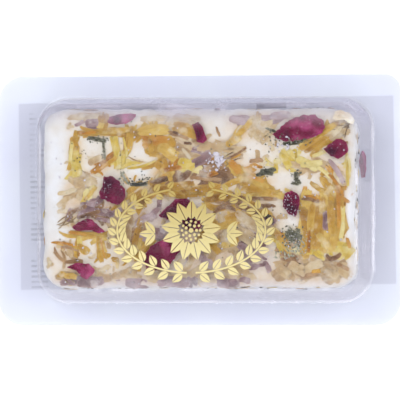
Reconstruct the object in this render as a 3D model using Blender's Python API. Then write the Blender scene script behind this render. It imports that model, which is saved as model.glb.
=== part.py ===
"""Fresh goat cheese with flower petals, sealed in a clear pack with a domed lid.

The pack lies flat with its long side along X and the dome up. Everything is in metres. The
origin is the middle of the pack's underside, on the surface that the pack lies on.
"""

import math
import random

import bmesh
import bpy
from mathutils import Matrix, Vector, noise

# Pack outline, seen from above.
PACK_LENGTH = 0.130
PACK_WIDTH = 0.080
CORNER_BACK_RIGHT = 0.0052
CORNER_OTHERS = 0.0079

# Sheets from the surface up: paper label, bottom film, flange of the clear dome.
SHEET_GAP = 0.0003
LABEL_THICKNESS = 0.0002
FILM_THICKNESS = 0.0003
WALL = 0.0005
LABEL_LENGTH = 0.122
LABEL_WIDTH = 0.0608
LABEL_CENTRE = (0.0024, 0.0022)
LABEL_CORNER = 0.0014
LABEL_TURN = math.radians(0.85)
FILM_BOTTOM = LABEL_THICKNESS + SHEET_GAP
FLANGE_BOTTOM = FILM_BOTTOM + FILM_THICKNESS + SHEET_GAP
FLANGE_TOP = FLANGE_BOTTOM + WALL

# Clear dome: where its wall leaves the flange, and how it rises.
DOME_CENTRE = (0.0021, 0.0)
DOME_LENGTH = 0.108
DOME_WIDTH = 0.0653
DOME_CORNER = 0.010
DOME_TOP = 0.0220
DOME_DRAFT = 0.0028
FOOT_RADIUS = 0.0015
SHOULDER_RADIUS = 0.0028
CROWN = 0.00035
# How far in from the foot the rings of the flat top lie.
DOME_TOP_INSETS = (0.0105, 0.0185, 0.0255)

# Dent in the wall at the dome's right end.
DENT_FROM = 0.8
DENT_Y = -0.0155
DENT_Z = 0.0095
DENT_HALF_LENGTH = 0.0050
DENT_HALF_HEIGHT = 0.0060
DENT_DEPTH = 0.0011

# Cheese: an upright block that fills the dome's top and stands clear of its flared wall.
CHEESE_INSET = 0.0040
CHEESE_LENGTH = DOME_LENGTH - 2 * CHEESE_INSET
CHEESE_WIDTH = DOME_WIDTH - 2 * CHEESE_INSET
CHEESE_CORNER = 0.0070
CHEESE_BOTTOM = FILM_BOTTOM + FILM_THICKNESS + SHEET_GAP
CHEESE_TOP = 0.0193
CHEESE_EDGE = 0.0030
CHEESE_FOOT = 0.0012
CHEESE_FOOT_TUCK = 0.0002
CHEESE_SIDE_LEVELS = (0.0055, 0.0100, 0.0140)
CHEESE_TOP_INSETS = (0.0062, 0.0095, 0.0128, 0.0161, 0.0194, 0.0227, 0.0260)
# Lumps on its top, and crumbly hollows in its sides.
CRUMB_SCALE = 0.0055
CRUMB_SQUASH = 1.6
TOP_RELIEF = 0.00032
SIDE_RELIEF = 0.0009
SIDE_LUMPS_FROM = Vector((7.0, 3.0, 1.0))

# Large petals lie on the cheese, under the dome.
PETAL_THICKNESS = 0.00045
PETAL_REST = 0.02000
PETAL_CUP = 0.00030
PETAL_CUP_ACROSS = 0.7
PETAL_WAVE = 0.00010
PETAL_WAVE_SCALE = 0.0030
PETAL_RAG = 0.10
PETAL_RAG_SCALE = 0.0022
PETAL_MARGIN = 0.0007
PETAL_SQUARENESS = 3
PETAL_ROWS = 7
PETAL_COLUMNS = 5
# Outline from base to tip: how blunt the two ends are, how full the sides, how much it widens.
PETAL_END = 0.09
PETAL_FULLNESS = 0.55
PETAL_FLARE = 0.22
PETAL_PLAY = Vector((3.7, 1.9, 0.0))

# name, (x, y) of its middle, length, width, turn in degrees
TOP_PETALS = (
    ("rose_petal_01", (-0.0219, 0.0244), 0.0098, 0.0032, 2),
    ("rose_petal_02", (0.0030, 0.0205), 0.0068, 0.0045, -68),
    ("rose_petal_03", (-0.0253, 0.0025), 0.0100, 0.0082, -50),
    ("rose_petal_04", (-0.0325, -0.0069), 0.0112, 0.0070, -18),
    ("rose_petal_05", (-0.0347, -0.0226), 0.0088, 0.0058, -12),
    ("rose_petal_06", (0.0338, 0.0212), 0.0162, 0.0080, 18),
    ("rose_petal_07", (0.0460, 0.0151), 0.0078, 0.0062, -25),
    ("rose_petal_08", (0.0321, -0.0013), 0.0090, 0.0058, 97),
    ("rose_petal_09", (-0.0015, -0.0018), 0.0080, 0.0056, 20),
    ("rose_petal_10", (-0.0030, -0.0083), 0.0125, 0.0040, 2),
    ("rose_petal_11", (-0.0104, -0.0188), 0.0112, 0.0066, 22),
    ("cream_petal", (0.0460, 0.0222), 0.0080, 0.0046, -28),
)
# One more petal stands between the cheese's right side and the dome's wall.
SIDE_PETAL = "rose_petal_12"
SIDE_PETAL_PLACE = Vector((0.0534, 0.0107, 0.0115))
SIDE_PETAL_SIZE = (0.0105, 0.0090)
SIDE_PETAL_MARGIN = 0.0110
ROSE = (0.33, 0.02, 0.09)
CREAM = (0.86, 0.80, 0.66)

# Strips of marigold, in patches on the cheese's top.
# (x, y) of a patch, half its size, how many strips, their length, width, lie in degrees, spread
STRIP_PATCHES = (
    ((-0.0277, 0.0205), (0.0030, 0.0012), 4, 0.0150, 0.0022, 0, 6),
    ((-0.0370, 0.0137), (0.0014, 0.0030), 4, 0.0110, 0.0022, 85, 12),
    ((-0.0223, 0.0150), (0.0024, 0.0020), 4, 0.0100, 0.0019, 78, 18),
    ((-0.0127, 0.0205), (0.0040, 0.0022), 6, 0.0100, 0.0029, 8, 35),
    ((-0.0050, 0.0130), (0.0046, 0.0038), 8, 0.0090, 0.0029, 10, 90),
    ((-0.0280, 0.0105), (0.0012, 0.0012), 2, 0.0080, 0.0019, 40, 8),
    ((0.0154, 0.0213), (0.0020, 0.0020), 3, 0.0090, 0.0019, 48, 10),
    ((0.0106, 0.0137), (0.0040, 0.0028), 4, 0.0080, 0.0026, 15, 60),
    ((0.0199, 0.0057), (0.0032, 0.0024), 4, 0.0080, 0.0030, -30, 20),
    ((0.0400, 0.0170), (0.0018, 0.0012), 3, 0.0110, 0.0022, 36, 8),
    ((0.0324, 0.0111), (0.0034, 0.0014), 4, 0.0070, 0.0023, -18, 20),
    ((0.0442, 0.0035), (0.0024, 0.0034), 5, 0.0095, 0.0020, 62, 18),
    ((0.0416, -0.0077), (0.0046, 0.0070), 10, 0.0115, 0.0023, 90, 22),
    ((0.0177, 0.0012), (0.0050, 0.0014), 4, 0.0110, 0.0026, 0, 14),
    ((0.0465, -0.0167), (0.0016, 0.0018), 3, 0.0070, 0.0019, 30, 25),
    ((-0.0325, -0.0128), (0.0030, 0.0010), 3, 0.0115, 0.0021, 2, 8),
    ((-0.0405, -0.0141), (0.0012, 0.0012), 2, 0.0085, 0.0016, -12, 10),
    ((0.0394, -0.0228), (0.0050, 0.0018), 5, 0.0095, 0.0029, 8, 14),
    ((-0.0133, -0.0119), (0.0040, 0.0024), 4, 0.0095, 0.0026, 38, 30),
    ((0.0106, -0.0135), (0.0056, 0.0034), 7, 0.0100, 0.0027, 20, 50),
    ((-0.0197, -0.0055), (0.0028, 0.0028), 4, 0.0085, 0.0025, -30, 30),
    ((0.0060, 0.0057), (0.0040, 0.0024), 5, 0.0095, 0.0026, 18, 30),
    ((0.0170, -0.0087), (0.0030, 0.0030), 4, 0.0085, 0.0024, -44, 24),
    ((-0.0421, -0.0023), (0.0014, 0.0030), 3, 0.0075, 0.0023, 20, 30),
    ((-0.0229, -0.0215), (0.0040, 0.0018), 4, 0.0095, 0.0026, 8, 20),
    ((0.0122, -0.0235), (0.0060, 0.0012), 4, 0.0095, 0.0027, 0, 12),
)
STRIP_SEED = 8
STRIP_SIZES = (0.80, 1.15)
STRIP_THICKNESS = 0.0009
STRIP_LIFTS = (0.00015, 0.00040)
STRIP_ARCH = 0.00025
STRIP_SWEEP = 0.0008
# A strip that would reach a large petal is drawn again at these shares of its length, or left out.
STRIP_SHORTENINGS = (1.0, 1.0, 0.9, 0.8, 0.7, 0.6, 0.5)
STRIP_TEST_POINTS = (-0.5, -0.25, 0.0, 0.25, 0.5)
# Where a strip's cross-sections are, as a share of its length, and how wide they are.
STRIP_SECTIONS = ((-0.5, 0.45), (-0.2, 0.95), (0.15, 1.0), (0.5, 0.35))

# Strips pressed flat against the upright sides: which way the side faces, how many.
SIDE_STRIPS = ((0, 4), (90, 7), (180, 4), (270, 7))
SIDE_STRIP_SEED = 5
SIDE_STRIP_LENGTH = 0.010
SIDE_STRIP_WIDTH = 0.0024
SIDE_STRIP_THICKNESS = 0.0011
SIDE_STRIP_DEPTH = 0.0002
SIDE_STRIP_LEVELS = (0.0060, 0.0145)
SIDE_STRIP_ROLL = 35
SIDE_STRIP_END = 0.0080
# Turns a strip that lies flat along X so that it faces +X and runs along Y.
FACING_RIGHT = Matrix(((0, 0, 1), (1, 0, 0), (0, 1, 0))).to_4x4()

# Herb flakes: (x, y), length, width, turn in degrees
HERB_FLAKES = (
    ((-0.0302, 0.0176), 0.0058, 0.0022, -8),
    ((-0.0165, 0.0054), 0.0060, 0.0022, 8),
    ((0.0234, 0.0082), 0.0056, 0.0030, 8),
    ((0.0333, 0.0058), 0.0044, 0.0026, 92),
    ((0.0330, -0.0140), 0.0068, 0.0046, -35),
    ((0.0250, 0.0152), 0.0036, 0.0022, 20),
    ((0.0245, -0.0068), 0.0036, 0.0028, 70),
    ((-0.0372, 0.0072), 0.0030, 0.0020, 0),
    ((0.0282, -0.0190), 0.0040, 0.0020, 15),
)
FLAKE_SIDES = 6
FLAKE_HEIGHT = 0.0004
FLAKE_DEPTH = 0.0007
FLAKE_CREST_SHARE = 0.7

# Points nearer than this become one where pieces are fused.
WELD = 0.000003

# How finely round forms are divided.
ARC_STEPS = 4
LONG_EDGE_STEPS = 12
SHORT_EDGE_STEPS = 7
FOOT_STEPS = 3
SHOULDER_STEPS = 4
CHEESE_EDGE_STEPS = 3
SMALLEST_CORNER = 0.0008
# How far a flat stretch runs on from the bend that rounds its end.
FLAT_REACH = 0.020
SHARP_ANGLE = math.radians(40)


def clear_scene():
    for thing in list(bpy.data.objects):
        bpy.data.objects.remove(thing)


def finish(name, colour, roughness, alpha=1.0):
    """A plain material in one colour."""
    material = bpy.data.materials.new(name)
    material.use_nodes = True
    shader = material.node_tree.nodes["Principled BSDF"]
    shader.inputs["Base Color"].default_value = (*colour, 1.0)
    shader.inputs["Roughness"].default_value = roughness
    shader.inputs["Metallic"].default_value = 0.0
    shader.inputs["Alpha"].default_value = alpha
    return material


def shade(mesh):
    """Round stretches shade smoothly, and real edges stay sharp."""
    mesh.shade_smooth()
    mesh.set_sharp_from_angle(angle=SHARP_ANGLE)


def add_object(name, bm, material, smooth=True):
    """Turns bm into a named object with its faces pointing out."""
    bmesh.ops.recalc_face_normals(bm, faces=bm.faces)
    mesh = bpy.data.meshes.new(name)
    bm.to_mesh(mesh)
    bm.free()
    mesh.materials.append(material)
    if smooth:
        shade(mesh)
    thing = bpy.data.objects.new(name, mesh)
    bpy.context.scene.collection.objects.link(thing)
    return thing


def rounded_rectangle(centre, length, width, radii):
    """Points round a rectangle, anticlockwise from the right end of its back edge.

    radii are those of the corners back right, back left, front left and front right.
    """
    signs = ((1, 1), (-1, 1), (-1, -1), (1, -1))
    arcs = []
    for quarter, ((sx, sy), radius) in enumerate(zip(signs, radii)):
        from_centre = Vector((sx * (length / 2 - radius), sy * (width / 2 - radius)))
        turns = [(quarter + step / ARC_STEPS) * math.pi / 2 for step in range(ARC_STEPS + 1)]
        spokes = [Vector((math.cos(turn), math.sin(turn))) for turn in turns]
        arcs.append([Vector(centre) + from_centre + radius * spoke for spoke in spokes])
    points = []
    for index, arc in enumerate(arcs):
        following = arcs[(index + 1) % len(arcs)][0]
        steps = SHORT_EDGE_STEPS if index % 2 else LONG_EDGE_STEPS
        points += arc
        points += [arc[-1].lerp(following, step / steps) for step in range(1, steps)]
    return points


def inset_ring(inset, centre, length, width, corner):
    """The outline of a block, moved in by inset all round."""
    radius = max(corner - inset, SMALLEST_CORNER)
    return rounded_rectangle(centre, length - 2 * inset, width - 2 * inset, (radius,) * 4)


def rounded_bend(before, corner, after, radius, steps):
    """Points of an arc that rounds the corner of a flat (inset, height) line."""
    before, corner, after = Vector(before), Vector(corner), Vector(after)
    back, on = (before - corner).normalized(), (after - corner).normalized()
    half = back.angle(on) / 2
    reach = radius / math.tan(half)
    middle = corner + (back + on).normalized() * (radius / math.sin(half))
    start, end = corner + back * reach - middle, corner + on * reach - middle
    sweep = start.angle(end)
    points = []
    for step in range(steps + 1):
        part = step / steps
        blend = start * math.sin((1 - part) * sweep) + end * math.sin(part * sweep)
        points.append(middle + blend / math.sin(sweep))
    return points


def bridge(bm, lower, upper):
    for index, point in enumerate(lower):
        following = (index + 1) % len(lower)
        bm.faces.new((point, lower[following], upper[following], upper[index]))


def loft(rings):
    """A closed solid through rings of 3-D points, with both ends filled."""
    bm = bmesh.new()
    made = [[bm.verts.new(point) for point in ring] for ring in rings]
    for lower, upper in zip(made, made[1:]):
        bridge(bm, lower, upper)
    bm.faces.new(made[0])
    bm.faces.new(made[-1])
    return bm


def smooth_step(value):
    value = min(max(value, 0.0), 1.0)
    return value * value * (3 - 2 * value)


def dome_shape(point):
    """Crowns the dome's top a little and dents the wall at its right end."""
    x, y, z = point
    across = (x - DOME_CENTRE[0]) / (DOME_LENGTH / 2)
    along = (y - DOME_CENTRE[1]) / (DOME_WIDTH / 2)
    top = smooth_step((z - DOME_TOP + SHOULDER_RADIUS) / SHOULDER_RADIUS)
    z += CROWN * top * max(1 - across**2, 0.0) * max(1 - along**2, 0.0)
    if across > DENT_FROM:
        reach = ((y - DENT_Y) / DENT_HALF_LENGTH) ** 2 + ((z - DENT_Z) / DENT_HALF_HEIGHT) ** 2
        x -= DENT_DEPTH * math.exp(-reach)
    return Vector((x, y, z))


def dome_profile(thickness):
    """(inset, height) points up one face of the dome, from the flange to its flat top."""
    foot = (thickness, FLANGE_TOP - thickness)
    shoulder = (DOME_DRAFT + thickness, DOME_TOP - thickness)
    outside, inside = (-FLAT_REACH, foot[1]), (FLAT_REACH, shoulder[1])
    points = rounded_bend(outside, foot, shoulder, FOOT_RADIUS + thickness, FOOT_STEPS)
    points += rounded_bend(foot, shoulder, inside, SHOULDER_RADIUS - thickness, SHOULDER_STEPS)
    return points + [Vector((inset, shoulder[1])) for inset in DOME_TOP_INSETS]


def dome_rings(thickness):
    rings = []
    for inset, height in dome_profile(thickness):
        ring = inset_ring(inset, DOME_CENTRE, DOME_LENGTH, DOME_WIDTH, DOME_CORNER)
        rings.append([dome_shape((p.x, p.y, height)) for p in ring])
    return rings


def pack_outline(height):
    radii = (CORNER_BACK_RIGHT, CORNER_OTHERS, CORNER_OTHERS, CORNER_OTHERS)
    outline = rounded_rectangle((0, 0), PACK_LENGTH, PACK_WIDTH, radii)
    return [Vector((p.x, p.y, height)) for p in outline]


def make_dome():
    """One formed sheet: flange and dome, hollow and open underneath."""
    edge = [pack_outline(FLANGE_TOP), pack_outline(FLANGE_BOTTOM)]
    rings = dome_rings(0.0)[::-1] + edge + dome_rings(WALL)
    return add_object("clear_dome", loft(rings), finish("clear_plastic", (0.90, 0.92, 1.0), 0.05, 0.25))


def make_film():
    rings = [pack_outline(FILM_BOTTOM), pack_outline(FILM_BOTTOM + FILM_THICKNESS)]
    film = finish("lilac_film", (0.74, 0.78, 0.95), 0.3, 0.9)
    return add_object("bottom_film", loft(rings), film, False)


def make_label():
    outline = rounded_rectangle((0, 0), LABEL_LENGTH, LABEL_WIDTH, (LABEL_CORNER,) * 4)
    rings = [[Vector((p.x, p.y, height)) for p in outline] for height in (0.0, LABEL_THICKNESS)]
    label = add_object("back_label", loft(rings), finish("label_paper", (0.60, 0.62, 0.72), 0.8), False)
    label.location = (*LABEL_CENTRE, 0.0)
    label.rotation_euler.z = LABEL_TURN
    return label


def cheese_height(x, y):
    """The height of the cheese's uneven top at a point."""
    return CHEESE_TOP + TOP_RELIEF * noise.noise(Vector((x, y, 0.0)) / CRUMB_SCALE)


def cheese_shape(point):
    """Roughens a point of the block: lumps on top, crumbly hollows in the sides."""
    x, y, z = point
    below_edge = smooth_step((CHEESE_TOP - z) / CHEESE_EDGE)
    above_foot = smooth_step((z - CHEESE_BOTTOM) / CHEESE_FOOT)
    lump = noise.noise(Vector((x, y, z * CRUMB_SQUASH)) / CRUMB_SCALE + SIDE_LUMPS_FROM)
    away = Vector(((x - DOME_CENTRE[0]) / CHEESE_LENGTH, (y - DOME_CENTRE[1]) / CHEESE_WIDTH, 0.0))
    moved = Vector(point) - away.normalized() * below_edge * above_foot * SIDE_RELIEF * (0.5 + lump)
    on_top = smooth_step((z - CHEESE_TOP + CHEESE_EDGE) / CHEESE_EDGE)
    moved.z += on_top * (cheese_height(x, y) - CHEESE_TOP)
    return moved


def make_cheese_core(material):
    foot = [(CHEESE_FOOT, CHEESE_BOTTOM), (CHEESE_FOOT_TUCK, CHEESE_BOTTOM + CHEESE_FOOT)]
    sides = [(0.0, level) for level in CHEESE_SIDE_LEVELS]
    corner, flat = (0.0, CHEESE_TOP), (FLAT_REACH, CHEESE_TOP)
    edge = rounded_bend((0.0, 0.0), corner, flat, CHEESE_EDGE, CHEESE_EDGE_STEPS)
    top = [(inset, CHEESE_TOP) for inset in CHEESE_TOP_INSETS]
    rings = []
    for inset, height in foot + sides + [tuple(p) for p in edge] + top:
        ring = inset_ring(inset, DOME_CENTRE, CHEESE_LENGTH, CHEESE_WIDTH, CHEESE_CORNER)
        rings.append([cheese_shape((p.x, p.y, height)) for p in ring])
    return add_object("cheese", loft(rings), material)


def strip_solid(length, width, thickness, arch, sweep):
    """One narrow petal: a long, slightly arched sliver with tapered ends."""
    bm = bmesh.new()
    rings = []
    for along, share in STRIP_SECTIONS:
        half = width * share / 2
        lift = arch * (1 - 4 * along * along)
        side = sweep * along
        under, over = lift - thickness / 2, lift + thickness / 2
        corners = ((-half, under), (half, under), (half, over), (-half, over))
        rings.append([bm.verts.new((along * length, side + across, up)) for across, up in corners])
    for lower, upper in zip(rings, rings[1:]):
        bridge(bm, lower, upper)
    bm.faces.new(rings[0])
    bm.faces.new(rings[-1])
    return bm


def flake_solid(length, width):
    """A herb flake: a low lump, narrower on top, that reaches into the cheese."""
    bm = bmesh.new()
    turns = [step / FLAKE_SIDES * 2 * math.pi for step in range(FLAKE_SIDES)]
    rim = [(math.cos(turn) * length / 2, math.sin(turn) * width / 2) for turn in turns]
    base = [bm.verts.new((x, y, -FLAKE_DEPTH)) for x, y in rim]
    share = FLAKE_CREST_SHARE
    crest = [bm.verts.new((x * share, y * share, FLAKE_HEIGHT)) for x, y in rim]
    bridge(bm, base, crest)
    bm.faces.new(base)
    bm.faces.new(crest)
    return bm


def touches_petal(x, y, reach):
    """True if a disc of that reach at (x, y) comes near a large petal."""
    clear = reach + PETAL_MARGIN
    for _, (px, py), length, width, turn in TOP_PETALS:
        away = Matrix.Rotation(-math.radians(turn), 2) @ Vector((x - px, y - py))
        along, across = abs(away.x) / (length / 2 + clear), abs(away.y) / (width / 2 + clear)
        if along**PETAL_SQUARENESS + across**PETAL_SQUARENESS < 1:
            return True
    return False


def strip_is_free(x, y, length, width, angle):
    """True if a strip keeps off the large petals and inside the cheese's edge."""
    for share in STRIP_TEST_POINTS:
        sx = x + share * length * math.cos(angle)
        sy = y + share * length * math.sin(angle)
        inside_x = abs(sx - DOME_CENTRE[0]) < CHEESE_LENGTH / 2 - CHEESE_EDGE
        inside_y = abs(sy - DOME_CENTRE[1]) < CHEESE_WIDTH / 2 - CHEESE_EDGE
        if touches_petal(sx, sy, width / 2) or not (inside_x and inside_y):
            return False
    return True


def place(bm, name, material, location, turn):
    piece = add_object(name, bm, material, False)
    piece.matrix_world = Matrix.Translation(location) @ Matrix.Rotation(turn, 4, "Z")
    return piece


def free_strip(draw, patch):
    """Draws a strip's place, angle, length and width in a patch until it keeps clear, or gives None."""
    (cx, cy), (rx, ry), _, full_length, full_width, lie, spread = patch
    for share in STRIP_SHORTENINGS:
        x, y = cx + draw.uniform(-rx, rx), cy + draw.uniform(-ry, ry)
        size = draw.uniform(*STRIP_SIZES)
        angle = math.radians(lie + draw.uniform(-spread, spread))
        length, width = full_length * size * share, full_width * size
        if strip_is_free(x, y, length, width, angle):
            return x, y, angle, length, width
    return None


def make_top_strips(material):
    """Marigold strips in loose patches over the top, kept off the large petals."""
    draw = random.Random(STRIP_SEED)
    strips = []
    for patch in STRIP_PATCHES:
        found = [free_strip(draw, patch) for _ in range(patch[2])]
        for x, y, angle, length, width in filter(None, found):
            arch, sweep = draw.uniform(0.0, STRIP_ARCH), draw.uniform(-STRIP_SWEEP, STRIP_SWEEP)
            height = cheese_height(x, y) + draw.uniform(*STRIP_LIFTS)
            bm = strip_solid(length, width, STRIP_THICKNESS, arch, sweep)
            strips.append(place(bm, "strip", material, (x, y, height), angle))
    return strips


def make_side_strips(material):
    """Strips on the upright sides, evenly along each side with seeded play in height and roll."""
    draw = random.Random(SIDE_STRIP_SEED)
    strips = []
    for facing, count in SIDE_STRIPS:
        out, along = CHEESE_LENGTH / 2, CHEESE_WIDTH / 2
        if facing % 180:
            out, along = along, out
        side = Matrix.Translation((*DOME_CENTRE, 0.0)) @ Matrix.Rotation(math.radians(facing), 4, "Z")
        for index in range(count):
            run = (2 * (index + 0.5) / count - 1) * (along - SIDE_STRIP_END)
            level = draw.uniform(*SIDE_STRIP_LEVELS)
            roll = math.radians(draw.uniform(-SIDE_STRIP_ROLL, SIDE_STRIP_ROLL))
            where = Matrix.Translation((out - SIDE_STRIP_DEPTH, run, level))
            matrix = side @ where @ FACING_RIGHT @ Matrix.Rotation(roll, 4, "Z")
            if (matrix.translation - SIDE_PETAL_PLACE).length < SIDE_PETAL_MARGIN:
                continue
            bm = strip_solid(SIDE_STRIP_LENGTH, SIDE_STRIP_WIDTH, SIDE_STRIP_THICKNESS, 0.0, 0.0)
            piece = add_object("strip", bm, material, False)
            piece.matrix_world = matrix
            strips.append(piece)
    return strips


def make_flakes(material):
    flakes = []
    for (x, y), length, width, turn in HERB_FLAKES:
        where = (x, y, cheese_height(x, y))
        flakes.append(place(flake_solid(length, width), "flake", material, where, math.radians(turn)))
    return flakes


def fuse(core, pieces):
    """Joins the pieces to the core with one union and removes them."""
    group = bpy.data.collections.new("toppings")
    bpy.context.scene.collection.children.link(group)
    for piece in pieces:
        bpy.context.scene.collection.objects.unlink(piece)
        group.objects.link(piece)
    union = core.modifiers.new("fuse", "BOOLEAN")
    union.operation = "UNION"
    union.solver = "MANIFOLD"
    union.operand_type = "COLLECTION"
    union.material_mode = "TRANSFER"
    union.collection = group
    depsgraph = bpy.context.evaluated_depsgraph_get()
    fused = bpy.data.meshes.new_from_object(core.evaluated_get(depsgraph))
    core.modifiers.clear()
    core.data = fused
    for piece in pieces:
        bpy.data.objects.remove(piece)
    bpy.data.collections.remove(group)


def bodies_of(bm):
    """The groups of joined vertices, smallest first."""
    left, bodies = set(bm.verts), []
    while left:
        body, edge = set(), [left.pop()]
        while edge:
            vert = edge.pop()
            body.add(vert)
            near = {link.other_vert(vert) for link in vert.link_edges} & left
            left -= near
            edge += near
        bodies.append(body)
    return sorted(bodies, key=len)


def keep_largest_body(thing):
    """Drops loose scraps, such as a strip that found nothing to rest on."""
    bm = bmesh.new()
    bm.from_mesh(thing.data)
    scraps = [vert for body in bodies_of(bm)[:-1] for vert in body]
    bmesh.ops.delete(bm, geom=scraps, context="VERTS")
    bmesh.ops.remove_doubles(bm, verts=bm.verts, dist=WELD)
    bmesh.ops.dissolve_degenerate(bm, edges=bm.edges, dist=WELD / 2)
    bm.to_mesh(thing.data)
    bm.free()
    shade(thing.data)


def make_cheese():
    paste = finish("goat_cheese", (0.93, 0.91, 0.85), 0.55)
    marigold = finish("marigold_strip", (0.72, 0.42, 0.06), 0.5)
    herb = finish("herb_flake", (0.08, 0.10, 0.05), 0.6)
    core = make_cheese_core(paste)
    fuse(core, make_top_strips(marigold) + make_side_strips(marigold) + make_flakes(herb))
    keep_largest_body(core)
    return core


def petal_point(share, across, length, width, play):
    """A point of a petal's middle surface. share runs from base to tip, across from -1 to 1."""
    fullness = math.sin(math.pi * (PETAL_END + (1 - 2 * PETAL_END) * share)) ** PETAL_FULLNESS
    span = fullness * (1 - PETAL_FLARE * (1 - share))
    flat = Vector(((share - 0.5) * length, across * span * width / 2, 0.0))
    rag = 1 + PETAL_RAG * noise.noise(flat / PETAL_RAG_SCALE + play)
    curl = across**2 * PETAL_CUP_ACROSS + (2 * share - 1) ** 2 * (1 - PETAL_CUP_ACROSS)
    wave = PETAL_WAVE * noise.noise(flat / PETAL_WAVE_SCALE - play)
    return Vector((flat.x * rag, flat.y * rag, PETAL_CUP * curl + wave))


def petal_solid(length, width, seed):
    """A thin cupped leaf with a wavy rim. Both faces are split into triangles alike."""
    bm = bmesh.new()
    faces = []
    for side in (-0.5, 0.5):
        offset = Vector((0.0, 0.0, side * PETAL_THICKNESS))
        grid = []
        for row in range(PETAL_ROWS + 1):
            share = row / PETAL_ROWS
            spots = [column / PETAL_COLUMNS * 2 - 1 for column in range(PETAL_COLUMNS + 1)]
            line = [petal_point(share, spot, length, width, seed * PETAL_PLAY) for spot in spots]
            grid.append([bm.verts.new(point + offset) for point in line])
        faces.append(grid)
    lower, upper = faces
    for row in range(PETAL_ROWS):
        for column in range(PETAL_COLUMNS):
            for grid in faces:
                a, b = grid[row][column], grid[row + 1][column]
                c, d = grid[row + 1][column + 1], grid[row][column + 1]
                bm.faces.new((a, b, c))
                bm.faces.new((a, c, d))
    rim = [(row, 0) for row in range(PETAL_ROWS)]
    rim += [(PETAL_ROWS, column) for column in range(PETAL_COLUMNS)]
    rim += [(row, PETAL_COLUMNS) for row in range(PETAL_ROWS, 0, -1)]
    rim += [(0, column) for column in range(PETAL_COLUMNS, 0, -1)]
    for (r0, c0), (r1, c1) in zip(rim, rim[1:] + rim[:1]):
        bm.faces.new((lower[r0][c0], lower[r1][c1], upper[r1][c1]))
        bm.faces.new((lower[r0][c0], upper[r1][c1], upper[r0][c0]))
    return bm


def make_petals():
    rose, cream = finish("rose_petal", ROSE, 0.5), finish("cream_petal", CREAM, 0.5)
    height = PETAL_REST + PETAL_THICKNESS / 2 + PETAL_WAVE
    for number, (name, (x, y), length, width, turn) in enumerate(TOP_PETALS, start=1):
        colour = cream if name == "cream_petal" else rose
        petal = add_object(name, petal_solid(length, width, number), colour)
        petal.location = (x, y, height)
        petal.rotation_euler.z = math.radians(turn)
    side = add_object(SIDE_PETAL, petal_solid(*SIDE_PETAL_SIZE, len(TOP_PETALS) + 1), rose)
    lean = math.atan2(DOME_DRAFT, DOME_TOP - FLANGE_TOP)
    side.location = SIDE_PETAL_PLACE
    side.rotation_euler.y = math.radians(90) - lean


clear_scene()
make_label()
make_film()
make_dome()
make_cheese()
make_petals()
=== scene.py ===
"""The looks of a fresh goat cheese with flower petals, sealed in a clear pack with a domed lid.

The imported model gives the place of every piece. This script gives them their finishes, and replaces
the plain solids with the thin formed plastic, the crumbly cheese and its toppings at true size.
"""

import math
import random

import bmesh
import bpy
import numpy as np
from mathutils import Matrix, Vector, noise


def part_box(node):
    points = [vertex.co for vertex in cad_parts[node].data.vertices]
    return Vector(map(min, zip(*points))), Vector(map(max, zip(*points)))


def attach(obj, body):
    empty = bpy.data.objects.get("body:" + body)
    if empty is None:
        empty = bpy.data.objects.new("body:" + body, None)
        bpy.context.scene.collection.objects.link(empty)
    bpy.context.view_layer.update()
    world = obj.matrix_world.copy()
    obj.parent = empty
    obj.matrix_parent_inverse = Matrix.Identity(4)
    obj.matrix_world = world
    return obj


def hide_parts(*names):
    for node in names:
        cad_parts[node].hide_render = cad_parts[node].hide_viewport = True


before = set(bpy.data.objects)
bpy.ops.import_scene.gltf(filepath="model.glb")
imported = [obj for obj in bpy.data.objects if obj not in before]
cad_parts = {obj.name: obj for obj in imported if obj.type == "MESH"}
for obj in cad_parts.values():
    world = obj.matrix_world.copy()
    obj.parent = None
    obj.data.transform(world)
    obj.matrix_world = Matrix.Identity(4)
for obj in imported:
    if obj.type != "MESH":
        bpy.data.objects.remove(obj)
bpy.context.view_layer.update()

MM = 0.001
BODY = "root"

# The pack, from the frame.
PACK_LOW, PACK_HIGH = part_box("clear_dome")
FILM_LOW, FILM_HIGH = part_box("bottom_film")
LABEL_LOW, LABEL_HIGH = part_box("back_label")
LABEL_MIDDLE = (LABEL_LOW + LABEL_HIGH) / 2
LABEL_LENGTH = 122.0 * MM
LABEL_WIDTH = 60.8 * MM
LABEL_TURN = math.radians(0.85)
PACK_LENGTH = PACK_HIGH.x - PACK_LOW.x
PACK_WIDTH = PACK_HIGH.y - PACK_LOW.y
FLANGE_BOTTOM = PACK_LOW.z
CORNER_BACK_RIGHT = 5.2 * MM
CORNER_OTHERS = 7.9 * MM

# An edge between two faces looks sharp from this angle on, in degrees.
RIM_ANGLE = 50

# The clear dome, as the solid has it, with a crown a little lower to leave room for the foil.
WALL = 0.5 * MM
FLANGE_TOP = FLANGE_BOTTOM + WALL
DOME_CENTRE = Vector((2.1 * MM, 0.0))
DOME_LENGTH = 108.0 * MM
DOME_WIDTH = 65.3 * MM
DOME_CORNER = 10.0 * MM
DOME_TOP = 22.0 * MM
DOME_DRAFT = 2.8 * MM
FOOT_RADIUS = 1.5 * MM
SHOULDER_RADIUS = 2.8 * MM
CROWN = 0.28 * MM
DENT_AT = Vector((0.0, -15.5 * MM, 9.5 * MM))
DENT_HALF_SIZE = (5.0 * MM, 6.0 * MM)
DENT_DEPTH = 1.1 * MM
# The dent is in the part of the dome beyond this share of half its length.
DENTED_END = 0.8
WAVE_HEIGHT = 0.16 * MM
WAVE_LENGTH = 9.0 * MM
WAVE_PLAY = Vector((2.3, 5.1, 7.7))
# How far above the flange the wall's waves and milkiness reach their full strength.
WALL_START = 2 * MM

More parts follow.
